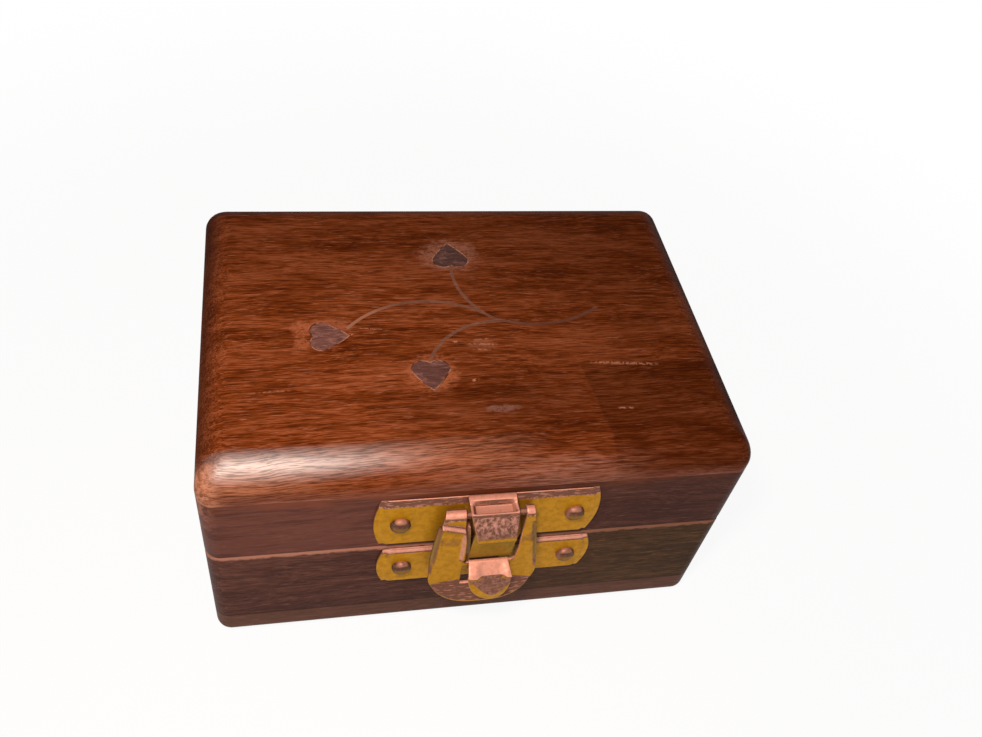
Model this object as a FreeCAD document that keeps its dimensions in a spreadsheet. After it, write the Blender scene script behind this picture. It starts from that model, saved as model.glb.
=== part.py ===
import FreeCAD, Part
import os
import re

import Sketcher
from FreeCAD import Placement, Rotation, Vector

# A small wooden jewelry box: boards glued into a base and a lid, butt hinges in the rear seam,
# a nailed brass hasp in front, and a vine with three heart leaves let into the lid.
# The origin is the middle of the underside, +X is to the right, +Y to the back and +Z up.

doc = FreeCAD.newDocument("jewelry_box")
sheet = doc.addObject("Spreadsheet::Sheet", "Sizes")

SIZES = {
    "box_width": 100,
    "box_depth": 71,
    "box_height": 53.5,
    "rim_height": 29.2,
    "seam_gap": 0.3,
    "wall_thickness": 7,
    "rabbet_lip": 3,
    "top_thickness": 7.5,
    "bottom_thickness": 7.5,
    "corner_radius": 3,
    "top_roundover": 6,
    "bottom_roundover": 3,
    "bevel_depth": 2.2,
    "lid_opening": 100,
    "hinge_inset": 22,
    "hinge_length": 16,
    "leaf_thickness": 0.8,
    "leaf_depth": 3.9,
    "knuckle_radius": 1.5,
    "knuckle_gap": 0.2,
    "knuckle_clearance": 0.3,
    "hinge_pin_radius": 0.7,
    "running_clearance": 0.05,
    "hinge_nail_radius": 0.45,
    "hinge_nail_head": 0.8,
    "hinge_nail_length": 6,
    "hinge_nail_spacing": 9,
    "hinge_nail_setback": 2.8,
    "nail_clearance": 0.03,
    "clasp_shift": 0.65,
    "catch_shift": 1.1,
    "lug_shift": 0.6,
    "hasp_lean": 0.4,
    "plate_width": 42,
    "plate_thickness": 0.8,
    "plate_bevel": 0.4,
    "plate_end_bulge": 1.9,
    "lid_plate_height": 13.5,
    "lid_plate_lift": 1.6,
    "catch_plate_height": 11.1,
    "catch_plate_drop": 0.8,
    "clasp_nail_spacing": 32.4,
    "clasp_nail_radius": 0.6,
    "clasp_nail_length": 6,
    "clasp_nail_head_radius": 1.6,
    "clasp_nail_head_height": 1.1,
    "clasp_pin_radius": 0.6,
    "pivot_drop": 2.9,
    "ear_radius": 1.25,
    "ear_clearance": 0.3,
    "lug_width": 8,
    "lug_height": 8.6,
    "lug_wall": 2.3,
    "lug_slope": 0.8,
    "lug_round": 0.9,
    "tongue_reach": 3,
    "tongue_thickness": 0.8,
    "hasp_thickness": 0.8,
    "hasp_top_width": 16.4,
    "hasp_width": 21.6,
    "hasp_length": 25.6,
    "hasp_bell_drop": 18.6,
    "bell_shoulder_drop": 3.5,
    "bell_shoulder_inset": 1.6,
    "bell_shoulder_bulge": 0.42,
    "bell_foot_bulge": 3.5,
    "hasp_step_drop": 5.8,
    "hasp_step": 0.3,
    "hasp_bend_drop": 21.2,
    "hasp_flare": 2,
    "notch_width": 10.9,
    "notch_gap": 0.6,
    "tab_width": 7.8,
    "tab_root_drop": 13.7,
    "tab_bend_drop": 2.5,
    "tab_bend_reach": 2.1,
    "tab_length": 7.8,
    "tab_reach": 3.4,
    "tab_foot_round": 3.2,
    "window_side_gap": 0.6,
    "window_bottom_drop": 20.7,
    "nose_width": 6,
    "nose_height": 4.4,
    "nose_tip_height": 1.2,
    "nose_gap": 0.4,
    "nose_play": 0.6,
    "pad_thickness": 2.4,
    "pad_crown": 1.6,
    "pad_clearance": 0.3,
    "leaf_length": 6.6,
    "leaf_shoulder": 1.9,
    "leaf_lobe_bulge": 1.5,
    "leaf_side_bulge": 0.2,
    "back_leaf_width": 7.4,
    "left_leaf_width": 7,
    "front_leaf_width": 7.1,
    "leaf_inlay_depth": 1.2,
    "stem_width": 0.7,
    "stem_depth": 0.8,
}

for row, (alias, value) in enumerate(SIZES.items(), start=1):
    sheet.set(f"A{row}", alias.replace("_", " "))
    sheet.set(f"B{row}", str(value))
    sheet.setAlias(f"B{row}", alias)
doc.recompute()

# Places that several pieces share, written in the sheet's sizes.
FRONT = "(-box_depth / 2)"
LID_BOTTOM = "(rim_height + seam_gap)"
LID_CEILING = "(box_height - top_thickness)"
HINGE_Y = "(box_depth / 2 - bevel_depth)"
HINGE_Z = "(rim_height + seam_gap / 2)"
KNUCKLE_PITCH = "((hinge_length + knuckle_gap) / 3)"
CATCH_X = "(clasp_shift + catch_shift)"
EARS_X = "(clasp_shift - hasp_lean)"
BELL_X = "(clasp_shift + hasp_lean)"
LUG_X = "(clasp_shift + lug_shift)"
HINGES = {"left": "(hinge_inset - box_width / 2)", "right": "(box_width / 2 - hinge_inset)"}
PLATE_FACE = f"({FRONT} - plate_thickness)"
LID_PLATE_BOTTOM = f"({LID_BOTTOM} + lid_plate_lift)"
LID_PLATE_TOP = f"({LID_PLATE_BOTTOM} + lid_plate_height)"
CATCH_PLATE_TOP = "(rim_height - catch_plate_drop)"
CATCH_PLATE_BOTTOM = f"({CATCH_PLATE_TOP} - catch_plate_height)"
PIVOT_Y = f"({PLATE_FACE} - ear_clearance - ear_radius)"
PIVOT_Z = f"({LID_PLATE_TOP} - pivot_drop)"
LUG_FRONT = f"({PIVOT_Y} - clasp_pin_radius - lug_wall)"
LUG_BOTTOM = f"({LID_PLATE_TOP} - lug_height)"
ARM_FRONT = f"({PIVOT_Y} - ear_radius)"
HASP_FRONT = f"({ARM_FRONT} - hasp_step)"
HASP_FOOT = f"({PIVOT_Z} - hasp_length)"
TAB_ROOT = f"({PIVOT_Z} - tab_root_drop)"
TONGUE_BOTTOM = f"({TAB_ROOT} + notch_gap)"
WINDOW_BOTTOM = f"({PIVOT_Z} - window_bottom_drop)"

# Where the base of each leaf sits on the lid, and how far its tip is turned from +Y.
LEAVES = {
    "back": (-0.8, 14.5, 0),
    "left": (-29.3, -4.5, -90),
    "front": (-8.5, -12.0, 180),
}
# Arcs of the vine on the lid, each through three points.
STEMS = {
    "main": [((-1.0, 13.8), (0.3, 5.7), (5.4, -0.9)), ((5.4, -0.9), (14.0, -2.8), (26.9, 1.3))],
    "left": [((-22.8, -2.4), (-11.0, 3.9), (3.6, 0.6))],
    "front": [((-8.3, -11.3), (-2.9, -4.5), (6.8, -1.75))],
}

# Turns that take a primitive's own Z axis to another direction.
TURNS = {
    "up": Rotation(),
    "down": Rotation(Vector(1, 0, 0), 180),
    "right": Rotation(Vector(0, 1, 0), 90),
    "front": Rotation(Vector(1, 0, 0), 90),
}


# Helpers that tie objects to the sheet
def sized(text):
    """Point every size name in an expression at the sheet's cell of that name."""
    return re.sub(r"\b([a-z]+(?:_[a-z]+)+)\b", r"Sizes.\1", text)


def number(text):
    """Value of an expression with the sheet's present sizes."""
    return float(sheet.evalExpression(sized(text)))


def bind(thing, **expressions):
    """Tie properties of an object to the sheet."""
    for name, text in expressions.items():
        thing.setExpression(name, sized(text))


def place(thing, position, direction="up"):
    """Turn an object and tie its position to the sheet."""
    thing.Placement = Placement(Vector(), TURNS[direction])
    for axis, text in zip("xyz", position):
        thing.setExpression(f"Placement.Base.{axis}", sized(text))


# Primitives and booleans
def box(label, corner, size):
    block = doc.addObject("Part::Box", label)
    bind(block, Length=size[0], Width=size[1], Height=size[2])
    place(block, corner)
    return block


def cylinder(label, radius, length, position, direction="up"):
    rod = doc.addObject("Part::Cylinder", label)
    bind(rod, Radius=radius, Height=length)
    place(rod, position, direction)
    return rod


def cone(label, first_radius, last_radius, length, position, direction="up"):
    taper = doc.addObject("Part::Cone", label)
    bind(taper, Radius1=first_radius, Radius2=last_radius, Height=length)
    place(taper, position, direction)
    return taper


def fuse(label, *pieces):
    union = doc.addObject("Part::MultiFuse", label)
    union.Shapes = list(pieces)
    return union


def cut(label, base, *tools):
    result = doc.addObject("Part::Cut", label)
    result.Base = base
    result.Tool = tools[0] if len(tools) == 1 else fuse(f"{label}_tools", *tools)
    return result


def common(label, first, second):
    result = doc.addObject("Part::Common", label)
    result.Base = first
    result.Tool = second
    return result


def group(label, *pieces):
    """Several separate solids that share one node."""
    compound = doc.addObject("Part::Compound", label)
    compound.Links = list(pieces)
    return compound


# Sketched bodies
def new_body(label):
    return doc.addObject("PartDesign::Body", label)


def new_sketch(body, name, plane, offset):
    """Empty sketch on one of the body's own planes, moved along the plane's normal."""
    sketch = body.newObject("Sketcher::SketchObject", name)
    sketch.AttachmentSupport = [(next(f for f in body.Origin.OriginFeatures if f.Role == plane), "")]
    sketch.MapMode = "FlatFace"
    sketch.setExpression("AttachmentOffset.Base.z", sized(offset))
    return sketch


def tie(sketch, name, text, constraint):
    """Add a named constraint to a sketch and bind it to the sheet."""
    sketch.renameConstraint(sketch.addConstraint(constraint), name)
    sketch.setExpression(f"Constraints.{name}", sized(text))


def bend_radius(start, end, bulge):
    """Radius of the arc between two corners that bulges out by the given height."""
    chord_squared = f"((({end[0]}) - ({start[0]})) ^ 2 + (({end[1]}) - ({start[1]})) ^ 2)"
    return f"({chord_squared} / (8 * {bulge}) + {bulge} / 2)"


def outline(body, name, plane, corners, bulges=None, offset="0"):
    """Closed sketch through corners given counter-clockwise; bulges maps a side to the height of its arc."""
    sketch = new_sketch(body, name, plane, offset)
    bulges = bulges or {}
    points = [Vector(number(x), number(y), 0) for x, y in corners]
    count = len(points)
    for side, start in enumerate(points):
        end = points[(side + 1) % count]
        if side in bulges:
            outward = Vector(end.y - start.y, start.x - end.x, 0).normalize()
            sketch.addGeometry(Part.Arc(start, (start + end) / 2 + outward * number(bulges[side]), end))
        else:
            sketch.addGeometry(Part.LineSegment(start, end))
    for side in range(count):
        sketch.addConstraint(Sketcher.Constraint("Coincident", side, 2, (side + 1) % count, 1))
    for side, (x, y) in enumerate(corners):
        tie(sketch, f"across{side}", x, Sketcher.Constraint("DistanceX", -1, 1, side, 1, points[side].x))
        tie(sketch, f"along{side}", y, Sketcher.Constraint("DistanceY", -1, 1, side, 1, points[side].y))
    for side, bulge in bulges.items():
        radius = bend_radius(corners[side], corners[(side + 1) % count], bulge)
        tie(sketch, f"bend{side}", radius, Sketcher.Constraint("Radius", side, number(radius)))
    return sketch


def circle(body, name, plane, centre, radius, offset="0"):
    """Sketch of one circle."""
    sketch = new_sketch(body, name, plane, offset)
    middle = Vector(number(centre[0]), number(centre[1]), 0)
    sketch.addGeometry(Part.Circle(middle, Vector(0, 0, 1), number(radius)))
    tie(sketch, "across", centre[0], Sketcher.Constraint("DistanceX", -1, 1, 0, 3, middle.x))
    tie(sketch, "along", centre[1], Sketcher.Constraint("DistanceY", -1, 1, 0, 3, middle.y))
    tie(sketch, "bend", radius, Sketcher.Constraint("Radius", 0, number(radius)))
    return sketch


def pad(body, name, sketch, length, symmetric=False):
    feature = body.newObject("PartDesign::Pad", name)
    feature.Profile = sketch
    feature.SideType = "Symmetric" if symmetric else "One side"
    bind(feature, Length=length)
    doc.recompute()
    return feature


def edge_names(feature, wanted):
    return [f"Edge{i}" for i, edge in enumerate(feature.Shape.Edges, start=1) if wanted(edge.BoundBox)]


def soften(body, kind, name, base, size, wanted):
    """Fillet or chamfer on the edges whose bounding box is wanted."""
    feature = body.newObject(f"PartDesign::{kind}", name)
    feature.Base = (base, edge_names(base, wanted))
    feature.setExpression("Radius" if kind == "Fillet" else "Size", sized(size))
    doc.recompute()
    return feature


def same(first, second):
    return abs(first - second) < 1e-4


def rectangle(left, right, bottom, top):
    return [(left, bottom), (right, bottom), (right, top), (left, top)]


# The outer form that every board is trimmed to
def make_outer_form():
    body = new_body("outer_form")
    plan = rectangle("-box_width / 2", "box_width / 2", "-box_depth / 2", "box_depth / 2")
    block = pad(body, "block", outline(body, "plan", "XY_Plane", plan), "box_height")
    height = number("box_height")
    corners = soften(body, "Fillet", "corners", block, "corner_radius", lambda b: same(b.ZLength, height))
    top = soften(body, "Fillet", "top_edges", corners, "top_roundover", lambda b: same(b.ZMin, height))
    soften(body, "Fillet", "bottom_edges", top, "bottom_roundover", lambda b: same(b.ZMax, 0))
    return body


# The V groove along the rear seam, whose faces meet when the lid is fully open
def make_rear_groove():
    body = new_body("rear_groove")
    reach = f"({HINGE_Y} + 2 * bevel_depth)"
    rise = "(2 * bevel_depth * tan(lid_opening / 2))"
    section = [(HINGE_Y, HINGE_Z), (reach, f"{HINGE_Z} - {rise}"), (reach, f"{HINGE_Z} + {rise}")]
    pad(body, "groove", outline(body, "section", "YZ_Plane", section), "2 * box_width", symmetric=True)
    return body


# Boards
def board(label, corner, size):
    """Rectangular board trimmed to the outer form."""
    return common(label, outer_form, box(f"{label}_blank", corner, size))


def full_board(label, bottom, height):
    return board(label, ("-box_width / 2", FRONT, bottom), ("box_width", "box_depth", height))


def long_wall(label, wall_y, rabbet_y, bottom, height):
    """Full-width board with a rabbet at each end for the side boards."""
    blank = box(f"{label}_blank", ("-box_width / 2", wall_y, bottom), ("box_width", "wall_thickness", height))
    size = ("wall_thickness", "wall_thickness - rabbet_lip", height)
    left = box(f"{label}_left_rabbet", ("-box_width / 2", rabbet_y, bottom), size)
    right = box(f"{label}_right_rabbet", ("box_width / 2 - wall_thickness", rabbet_y, bottom), size)
    return common(f"{label}_board", outer_form, cut(f"{label}_rabbeted", blank, left, right))


def front_wall(label, bottom, height):
    return long_wall(label, FRONT, f"{FRONT} + rabbet_lip", bottom, height)


def back_wall(label, bottom, height):
    inside = "box_depth / 2 - wall_thickness"
    return long_wall(label, inside, inside, bottom, height)


def side_wall(label, x, bottom, height):
    size = ("wall_thickness", "box_depth - 2 * rabbet_lip", height)
    return board(label, (x, f"{FRONT} + rabbet_lip", bottom), size)


# Butt hinges
def knuckles(label, middle, places, radius, slack="0"):
    """Cylinders on the hinge axis at some of the three knuckle places, counted from the left."""
    length = f"{KNUCKLE_PITCH} - knuckle_gap + 2 * {slack}"
    starts = {i: f"{middle} - hinge_length / 2 + {i} * {KNUCKLE_PITCH} - {slack}" for i in places}
    return [cylinder(f"{label}_{i}", radius, length, (start, HINGE_Y, HINGE_Z), "right")
            for i, start in starts.items()]


def nail_places(middle):
    return [f"{middle} - hinge_nail_spacing / 2", f"{middle} + hinge_nail_spacing / 2"]


def nail_head(label, x, face, driven, slack="0"):
    """Countersunk head, widest where it is flush with the leaf's face."""
    return cone(label, f"hinge_nail_head + {slack}", f"hinge_nail_radius + {slack}", "leaf_thickness",
                (x, f"{HINGE_Y} - hinge_nail_setback", face), driven)


def nail_shank(label, x, face, driven, slack="0"):
    return cylinder(label, f"hinge_nail_radius + {slack}", f"hinge_nail_length + {slack}",
                    (x, f"{HINGE_Y} - hinge_nail_setback", face), driven)


def hinge_leaf(label, middle, face, driven, own, others, bore):
    """Leaf with its own knuckles, cleared for the other leaf's, bored for the pin and sunk for two nails."""
    bottom = f"{face} - leaf_thickness" if driven == "down" else face
    plate = box(f"{label}_plate", (f"{middle} - hinge_length / 2", f"{HINGE_Y} - leaf_depth", bottom),
                ("hinge_length", "leaf_depth", "leaf_thickness"))
    rolled = fuse(f"{label}_rolled", plate, *knuckles(f"{label}_knuckle", middle, own, "knuckle_radius"))
    relief = knuckles(f"{label}_relief", middle, others, "knuckle_radius + knuckle_clearance", "knuckle_gap")
    pin_hole = cylinder(f"{label}_bore", bore, "2 * hinge_length",
                        (f"{middle} - hinge_length", HINGE_Y, HINGE_Z), "right")
    sinks = [nail_head(f"{label}_sink_{i}", x, face, driven, "nail_clearance")
             for i, x in enumerate(nail_places(middle))]
    return cut(label, rolled, *relief, pin_hole, *sinks)


def hinge_nails(label, face, driven):
    """Every nail of both hinges that is driven the same way."""
    seat = f"{face} - leaf_thickness" if driven == "down" else f"{face} + leaf_thickness"
    nails = []
    for i, x in enumerate(x for middle in HINGES.values() for x in nail_places(middle)):
        head = nail_head(f"{label}_head_{i}", x, face, driven)
        nails.append(fuse(f"{label}_nail_{i}", head, nail_shank(f"{label}_shank_{i}", x, seat, driven)))
    return group(label, *nails)


def hinge_seats(label, face, driven):
    """What is cut from a rear board for the hinges: leaf mortises, knuckle troughs and nail holes."""
    bottom = f"{face} - leaf_thickness" if driven == "down" else face
    seat = bottom if driven == "down" else f"{face} + leaf_thickness"
    tools = []
    for end, middle in HINGES.items():
        start = f"{middle} - hinge_length / 2"
        tools.append(box(f"{label}_{end}_mortise", (start, f"{HINGE_Y} - leaf_depth", bottom),
                         ("hinge_length", "leaf_depth", "leaf_thickness")))
        tools.append(cylinder(f"{label}_{end}_trough", "knuckle_radius + knuckle_clearance",
                              "hinge_length + 2 * knuckle_clearance",
                              (f"{start} - knuckle_clearance", HINGE_Y, HINGE_Z), "right"))
        tools += [nail_shank(f"{label}_{end}_hole_{i}", x, seat, driven, "nail_clearance")
                  for i, x in enumerate(nail_places(middle))]
    return tools


# Clasp
def nailing_plate(body, middle, bottom, top):
    """Plate with bulging ends and a bevelled face, flat on the front of the box."""
    half = "(plate_width / 2 - plate_end_bulge)"
    corners = rectangle(f"{middle} - {half}", f"{middle} + {half}", bottom, top)
    ends = {1: "plate_end_bulge", 3: "plate_end_bulge"}
    face = outline(body, "face", "XZ_Plane", corners, ends, "box_depth / 2")
    plate = pad(body, "plate", face, "plate_thickness")
    front = number(PLATE_FACE)
    return soften(body, "Chamfer", "bevel", plate, "plate_bevel", lambda b: same(b.YMax, front))


def across(body, name, section, middle, width):
    """Solid with the given side view, centred on a place along the front."""
    side = outline(body, f"{name}_side", "YZ_Plane", section, offset=middle)
    return pad(body, name, side, width, symmetric=True)


def clasp_nail_sites(middle):
    return [f"{middle} - clasp_nail_spacing / 2", f"{middle} + clasp_nail_spacing / 2"]


def clasp_nail_holes(label, middle, height):
    """Holes through a plate and into the wood behind it."""
    depth = "(clasp_nail_length + nail_clearance)"
    return [cylinder(f"{label}_{i}", "clasp_nail_radius + nail_clearance", f"{depth} + plate_thickness",
                     (x, f"{FRONT} + {depth}", height), "front")
            for i, x in enumerate(clasp_nail_sites(middle))]


def clasp_nails(label, middle, height):
    """Two domed nails; each dome is half an ellipsoid that rests on the plate."""
    nails = []
    for i, x in enumerate(clasp_nail_sites(middle)):
        shank = cylinder(f"{label}_shank_{i}", "clasp_nail_radius", "clasp_nail_length + plate_thickness",
                         (x, f"{FRONT} + clasp_nail_length", height), "front")
        dome = doc.addObject("Part::Ellipsoid", f"{label}_dome_{i}")
        bind(dome, Radius1="clasp_nail_head_height", Radius2="clasp_nail_head_radius")
        dome.Angle1 = 0
        place(dome, (x, PLATE_FACE, height), "front")
        nails.append(fuse(f"{label}_nail_{i}", shank, dome))
    return group(label, *nails)


def make_lid_plate(holes):
    """Plate on the lid whose folded lug carries the hasp's pin and ends in a hanging tongue."""
    body = new_body("lid_plate_form")
    nailing_plate(body, "clasp_shift", LID_PLATE_BOTTOM, LID_PLATE_TOP)
    tongue_front = f"{FRONT} - tongue_reach"
    tongue_back = f"{tongue_front} + tongue_thickness"
    shelf_front = f"{LUG_FRONT} + lug_slope"
    section = [
        (LUG_FRONT, LUG_BOTTOM),
        (tongue_front, LUG_BOTTOM),
        (tongue_front, TONGUE_BOTTOM),
        (tongue_back, TONGUE_BOTTOM),
        (tongue_back, LUG_BOTTOM),
        (FRONT, LUG_BOTTOM),
        (FRONT, LID_PLATE_TOP),
        (shelf_front, LID_PLATE_TOP),
    ]
    lug = across(body, "lug", section, LUG_X, "lug_width")
    bends = [(number(LUG_FRONT), number(LUG_BOTTOM)), (number(shelf_front), number(LID_PLATE_TOP))]
    soften(body, "Fillet", "lug_bends", lug, "lug_round",
           lambda b: any(same(b.YMin, y) and same(b.YMax, y) and same(b.ZMin, z) and same(b.ZMax, z)
                         for y, z in bends))
    bore = cylinder("lug_bore", "clasp_pin_radius + nail_clearance", "2 * lug_width",
                    (f"{LUG_X} - lug_width", PIVOT_Y, PIVOT_Z), "right")
    return cut("clasp_lid_plate", body, bore, *holes)


def make_catch_plate(holes):
    """Plate on the box with the nose that stands in the hasp's window when the hasp is pressed home."""
    body = new_body("catch_plate_form")
    nailing_plate(body, CATCH_X, CATCH_PLATE_BOTTOM, CATCH_PLATE_TOP)
    foot = f"({WINDOW_BOTTOM} + nose_play)"
    tip = f"{HASP_FRONT} + hasp_thickness + nose_gap"
    section = [
        (tip, foot),
        (FRONT, foot),
        (FRONT, f"{foot} + nose_height"),
        (PLATE_FACE, f"{foot} + nose_height"),
        (tip, f"{foot} + nose_tip_height"),
    ]
    across(body, "nose", section, LUG_X, "nose_width")
    return cut("clasp_catch_plate", body, *holes)


def hasp_sheet():
    """Side view of the hasp: the roll of the ears, a step below it and a flared foot."""
    body = new_body("hasp_sheet")
    step = f"{PIVOT_Z} - hasp_step_drop"
    below_step = f"{step} - 2 * hasp_step"
    bend = f"{PIVOT_Z} - hasp_bend_drop"
    section = [
        (ARM_FRONT, PIVOT_Z),
        (ARM_FRONT, step),
        (HASP_FRONT, below_step),
        (HASP_FRONT, bend),
        (f"{HASP_FRONT} - hasp_flare", HASP_FOOT),
        (f"{HASP_FRONT} - hasp_flare + hasp_thickness", HASP_FOOT),
        (f"{HASP_FRONT} + hasp_thickness", bend),
        (f"{HASP_FRONT} + hasp_thickness", below_step),
        (f"{ARM_FRONT} + hasp_thickness", step),
        (f"{ARM_FRONT} + hasp_thickness", PIVOT_Z),
    ]
    across(body, "strip", section, BELL_X, "2 * hasp_width")
    roll = circle(body, "roll_side", "YZ_Plane", (PIVOT_Y, PIVOT_Z), "ear_radius", BELL_X)
    pad(body, "roll", roll, "2 * hasp_width", symmetric=True)
    return body


def bell_outline():
    """Bell in front view: narrow ears, flanks that widen and lean, round shoulders and a bowed foot."""
    body = new_body("bell_outline")
    wide_z = f"{PIVOT_Z} - hasp_bell_drop"
    foot_half = "(hasp_width / 2 - bell_shoulder_inset)"
    foot_z = f"{wide_z} - bell_shoulder_drop"
    corners = [
        (f"{BELL_X} + hasp_width / 2", wide_z),
        (f"{EARS_X} + hasp_top_width / 2", PIVOT_Z),
        (f"{EARS_X} + hasp_top_width / 2", "box_height"),
        (f"{EARS_X} - hasp_top_width / 2", "box_height"),
        (f"{EARS_X} - hasp_top_width / 2", PIVOT_Z),
        (f"{BELL_X} - hasp_width / 2", wide_z),
        (f"{BELL_X} - {foot_half}", foot_z),
        (f"{BELL_X} + {foot_half}", foot_z),
    ]
    bulges = {5: "bell_shoulder_bulge", 6: "bell_foot_bulge", 7: "bell_shoulder_bulge"}
    pad(body, "bell", outline(body, "bell_face", "XZ_Plane", corners, bulges), "box_depth")
    return body


def finger_tab():
    """Tongue lifted out of the sheet, trimmed to a round end."""
    side = new_body("tab_side")
    bend = f"{TAB_ROOT} - tab_bend_drop"
    foot = f"{TAB_ROOT} - tab_length"
    section = [
        (HASP_FRONT, TAB_ROOT),
        (f"{HASP_FRONT} - tab_bend_reach", bend),
        (f"{HASP_FRONT} - tab_reach", foot),
        (f"{HASP_FRONT} - tab_reach + hasp_thickness", foot),
        (f"{HASP_FRONT} - tab_bend_reach + hasp_thickness", bend),
        (f"{HASP_FRONT} + hasp_thickness", TAB_ROOT),
    ]
    across(side, "lift", section, LUG_X, "tab_width")
    face = new_body("tab_face")
    corners = rectangle(f"{LUG_X} - tab_width / 2", f"{LUG_X} + tab_width / 2",
                        f"{foot} + tab_foot_round", TAB_ROOT)
    pad(face, "trim", outline(face, "trim_face", "XZ_Plane", corners, {0: "tab_foot_round"}), "box_depth")
    return common("finger_tab", side, face)


def make_hasp():
    """Bell-shaped hasp with ears each side of the lug, a window for the nose and a finger tab."""
    deep = "2 * lug_width"
    start = f"{LUG_FRONT} - lug_width"
    notch = box("hasp_notch", (f"{BELL_X} - notch_width / 2", start, TAB_ROOT),
                ("notch_width", deep, "box_height"))
    window_half = "(tab_width / 2 + window_side_gap)"
    window_top = f"({TAB_ROOT} - hasp_thickness * tab_bend_drop / tab_bend_reach)"
    window = box("hasp_window", (f"{LUG_X} - {window_half}", start, WINDOW_BOTTOM),
                 (f"2 * {window_half}", deep, f"{window_top} - {WINDOW_BOTTOM}"))
    bell = common("hasp_bell", hasp_sheet(), bell_outline())
    bore = cylinder("hasp_bore", "clasp_pin_radius + running_clearance", "2 * hasp_width",
                    (f"{EARS_X} - hasp_width", PIVOT_Y, PIVOT_Z), "right")
    pierced = cut("hasp_pierced", bell, notch, window, bore)
    return fuse("clasp_hasp", pierced, finger_tab())


# Velvet pads
def velvet_pad(label, seat, face_up):
    """Covered pad with a rounded free face, flat against the board that carries it."""
    body = new_body(label)
    half_x = "(box_width / 2 - wall_thickness - pad_clearance)"
    half_y = "(box_depth / 2 - wall_thickness - pad_clearance)"
    corners = rectangle(f"-{half_x}", half_x, f"-{half_y}", half_y)
    plan = outline(body, "plan", "XY_Plane", corners, offset=seat)
    slab = pad(body, "slab", plan, "pad_thickness")
    free = number(f"{seat} + pad_thickness") if face_up else number(seat)
    soften(body, "Fillet", "crown", slab, "pad_crown", lambda b: same(b.ZMin, free) and same(b.ZMax, free))
    return body


# Inlay in the lid
def leaf_inlay(name, base_x, base_y, turn):
    """Heart leaf with its base notch at the given place, flush with the top of the lid."""
    body = new_body(f"leaf_inlay_{name}")
    half = f"{name}_leaf_width / 2"
    corners = [("0", "0"), (half, "leaf_shoulder"), ("0", "leaf_length"), (f"-{half}", "leaf_shoulder")]
    bulges = {0: "leaf_lobe_bulge", 1: "leaf_side_bulge", 2: "leaf_side_bulge", 3: "leaf_lobe_bulge"}
    heart = outline(body, "heart", "XY_Plane", corners, bulges)
    pad(body, "slip", heart, "leaf_inlay_depth")
    body.Placement = Placement(Vector(base_x, base_y, 0), Rotation(Vector(0, 0, 1), turn))
    body.setExpression("Placement.Base.z", sized("box_height - leaf_inlay_depth"))
    return body


def stem_strip(label, arcs):
    """Strip of even width along joined arcs, flush with the top of the lid."""
    path = Part.Wire([Part.Arc(*(Vector(x, y, 0) for x, y in arc)).toShape() for arc in arcs])
    face = Part.Face(path.makeOffset2D(number("stem_width") / 2))
    strip = doc.addObject("Part::Feature", label)
    strip.Shape = face.extrude(Vector(0, 0, number("stem_depth")))
    strip.setExpression("Placement.Base.z", sized("box_height - stem_depth"))
    return strip


# Assembly
outer_form = make_outer_form()
rear_groove = make_rear_groove()
parts = []

base_height = "rim_height - bottom_thickness"
lid_height = f"{LID_CEILING} - {LID_BOTTOM}"
catch_nail_height = f"({CATCH_PLATE_TOP} + {CATCH_PLATE_BOTTOM}) / 2"
lid_nail_height = f"({LID_PLATE_TOP} + {LID_PLATE_BOTTOM}) / 2"
catch_holes = clasp_nail_holes("catch_hole", CATCH_X, catch_nail_height)
lid_holes = clasp_nail_holes("lid_hole", "clasp_shift", lid_nail_height)

parts.append(full_board("bottom_board", "0", "bottom_thickness"))
parts.append(cut("base_front_wall", front_wall("base_front", "bottom_thickness", base_height), *catch_holes))
parts.append(cut("base_back_wall", back_wall("base_back", "bottom_thickness", base_height), rear_groove,
                 *hinge_seats("base_seat", "rim_height", "down")))
parts.append(cut("lid_front_wall", front_wall("lid_front", LID_BOTTOM, lid_height), *lid_holes))
parts.append(cut("lid_back_wall", back_wall("lid_back", LID_BOTTOM, lid_height), rear_groove,
                 *hinge_seats("lid_seat", LID_BOTTOM, "up")))
for end, x in {"left": "-box_width / 2", "right": "box_width / 2 - wall_thickness"}.items():
    parts.append(side_wall(f"base_{end}_wall", x, "bottom_thickness", base_height))
    parts.append(side_wall(f"lid_{end}_wall", x, LID_BOTTOM, lid_height))

leaves = [leaf_inlay(name, *spot) for name, spot in LEAVES.items()]
strips = {name: stem_strip(f"{name}_strip", arcs) for name, arcs in STEMS.items()}
stems = [cut("vine_stem_main", strips["main"], *leaves)]
stems += [cut(f"vine_stem_{name}", strips[name], strips["main"], *leaves) for name in ("left", "front")]
top_blank = full_board("lid_top_blank", LID_CEILING, "top_thickness")
parts.append(cut("lid_top_board", top_blank, *leaves, *strips.values()))
parts += leaves + stems

parts.append(velvet_pad("floor_pad", "bottom_thickness", True))
parts.append(velvet_pad("lid_pad", f"{LID_CEILING} - pad_thickness", False))

for end, middle in HINGES.items():
    parts.append(hinge_leaf(f"hinge_{end}_base_leaf", middle, "rim_height", "down", (0, 2), (1,),
                            "hinge_pin_radius + nail_clearance"))
    parts.append(hinge_leaf(f"hinge_{end}_lid_leaf", middle, LID_BOTTOM, "up", (1,), (0, 2),
                            "hinge_pin_radius + running_clearance"))
    parts.append(cylinder(f"hinge_{end}_pin", "hinge_pin_radius", "hinge_length",
                          (f"{middle} - hinge_length / 2", HINGE_Y, HINGE_Z), "right"))
parts.append(hinge_nails("hinge_base_nails", "rim_height", "down"))
parts.append(hinge_nails("hinge_lid_nails", LID_BOTTOM, "up"))

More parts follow.
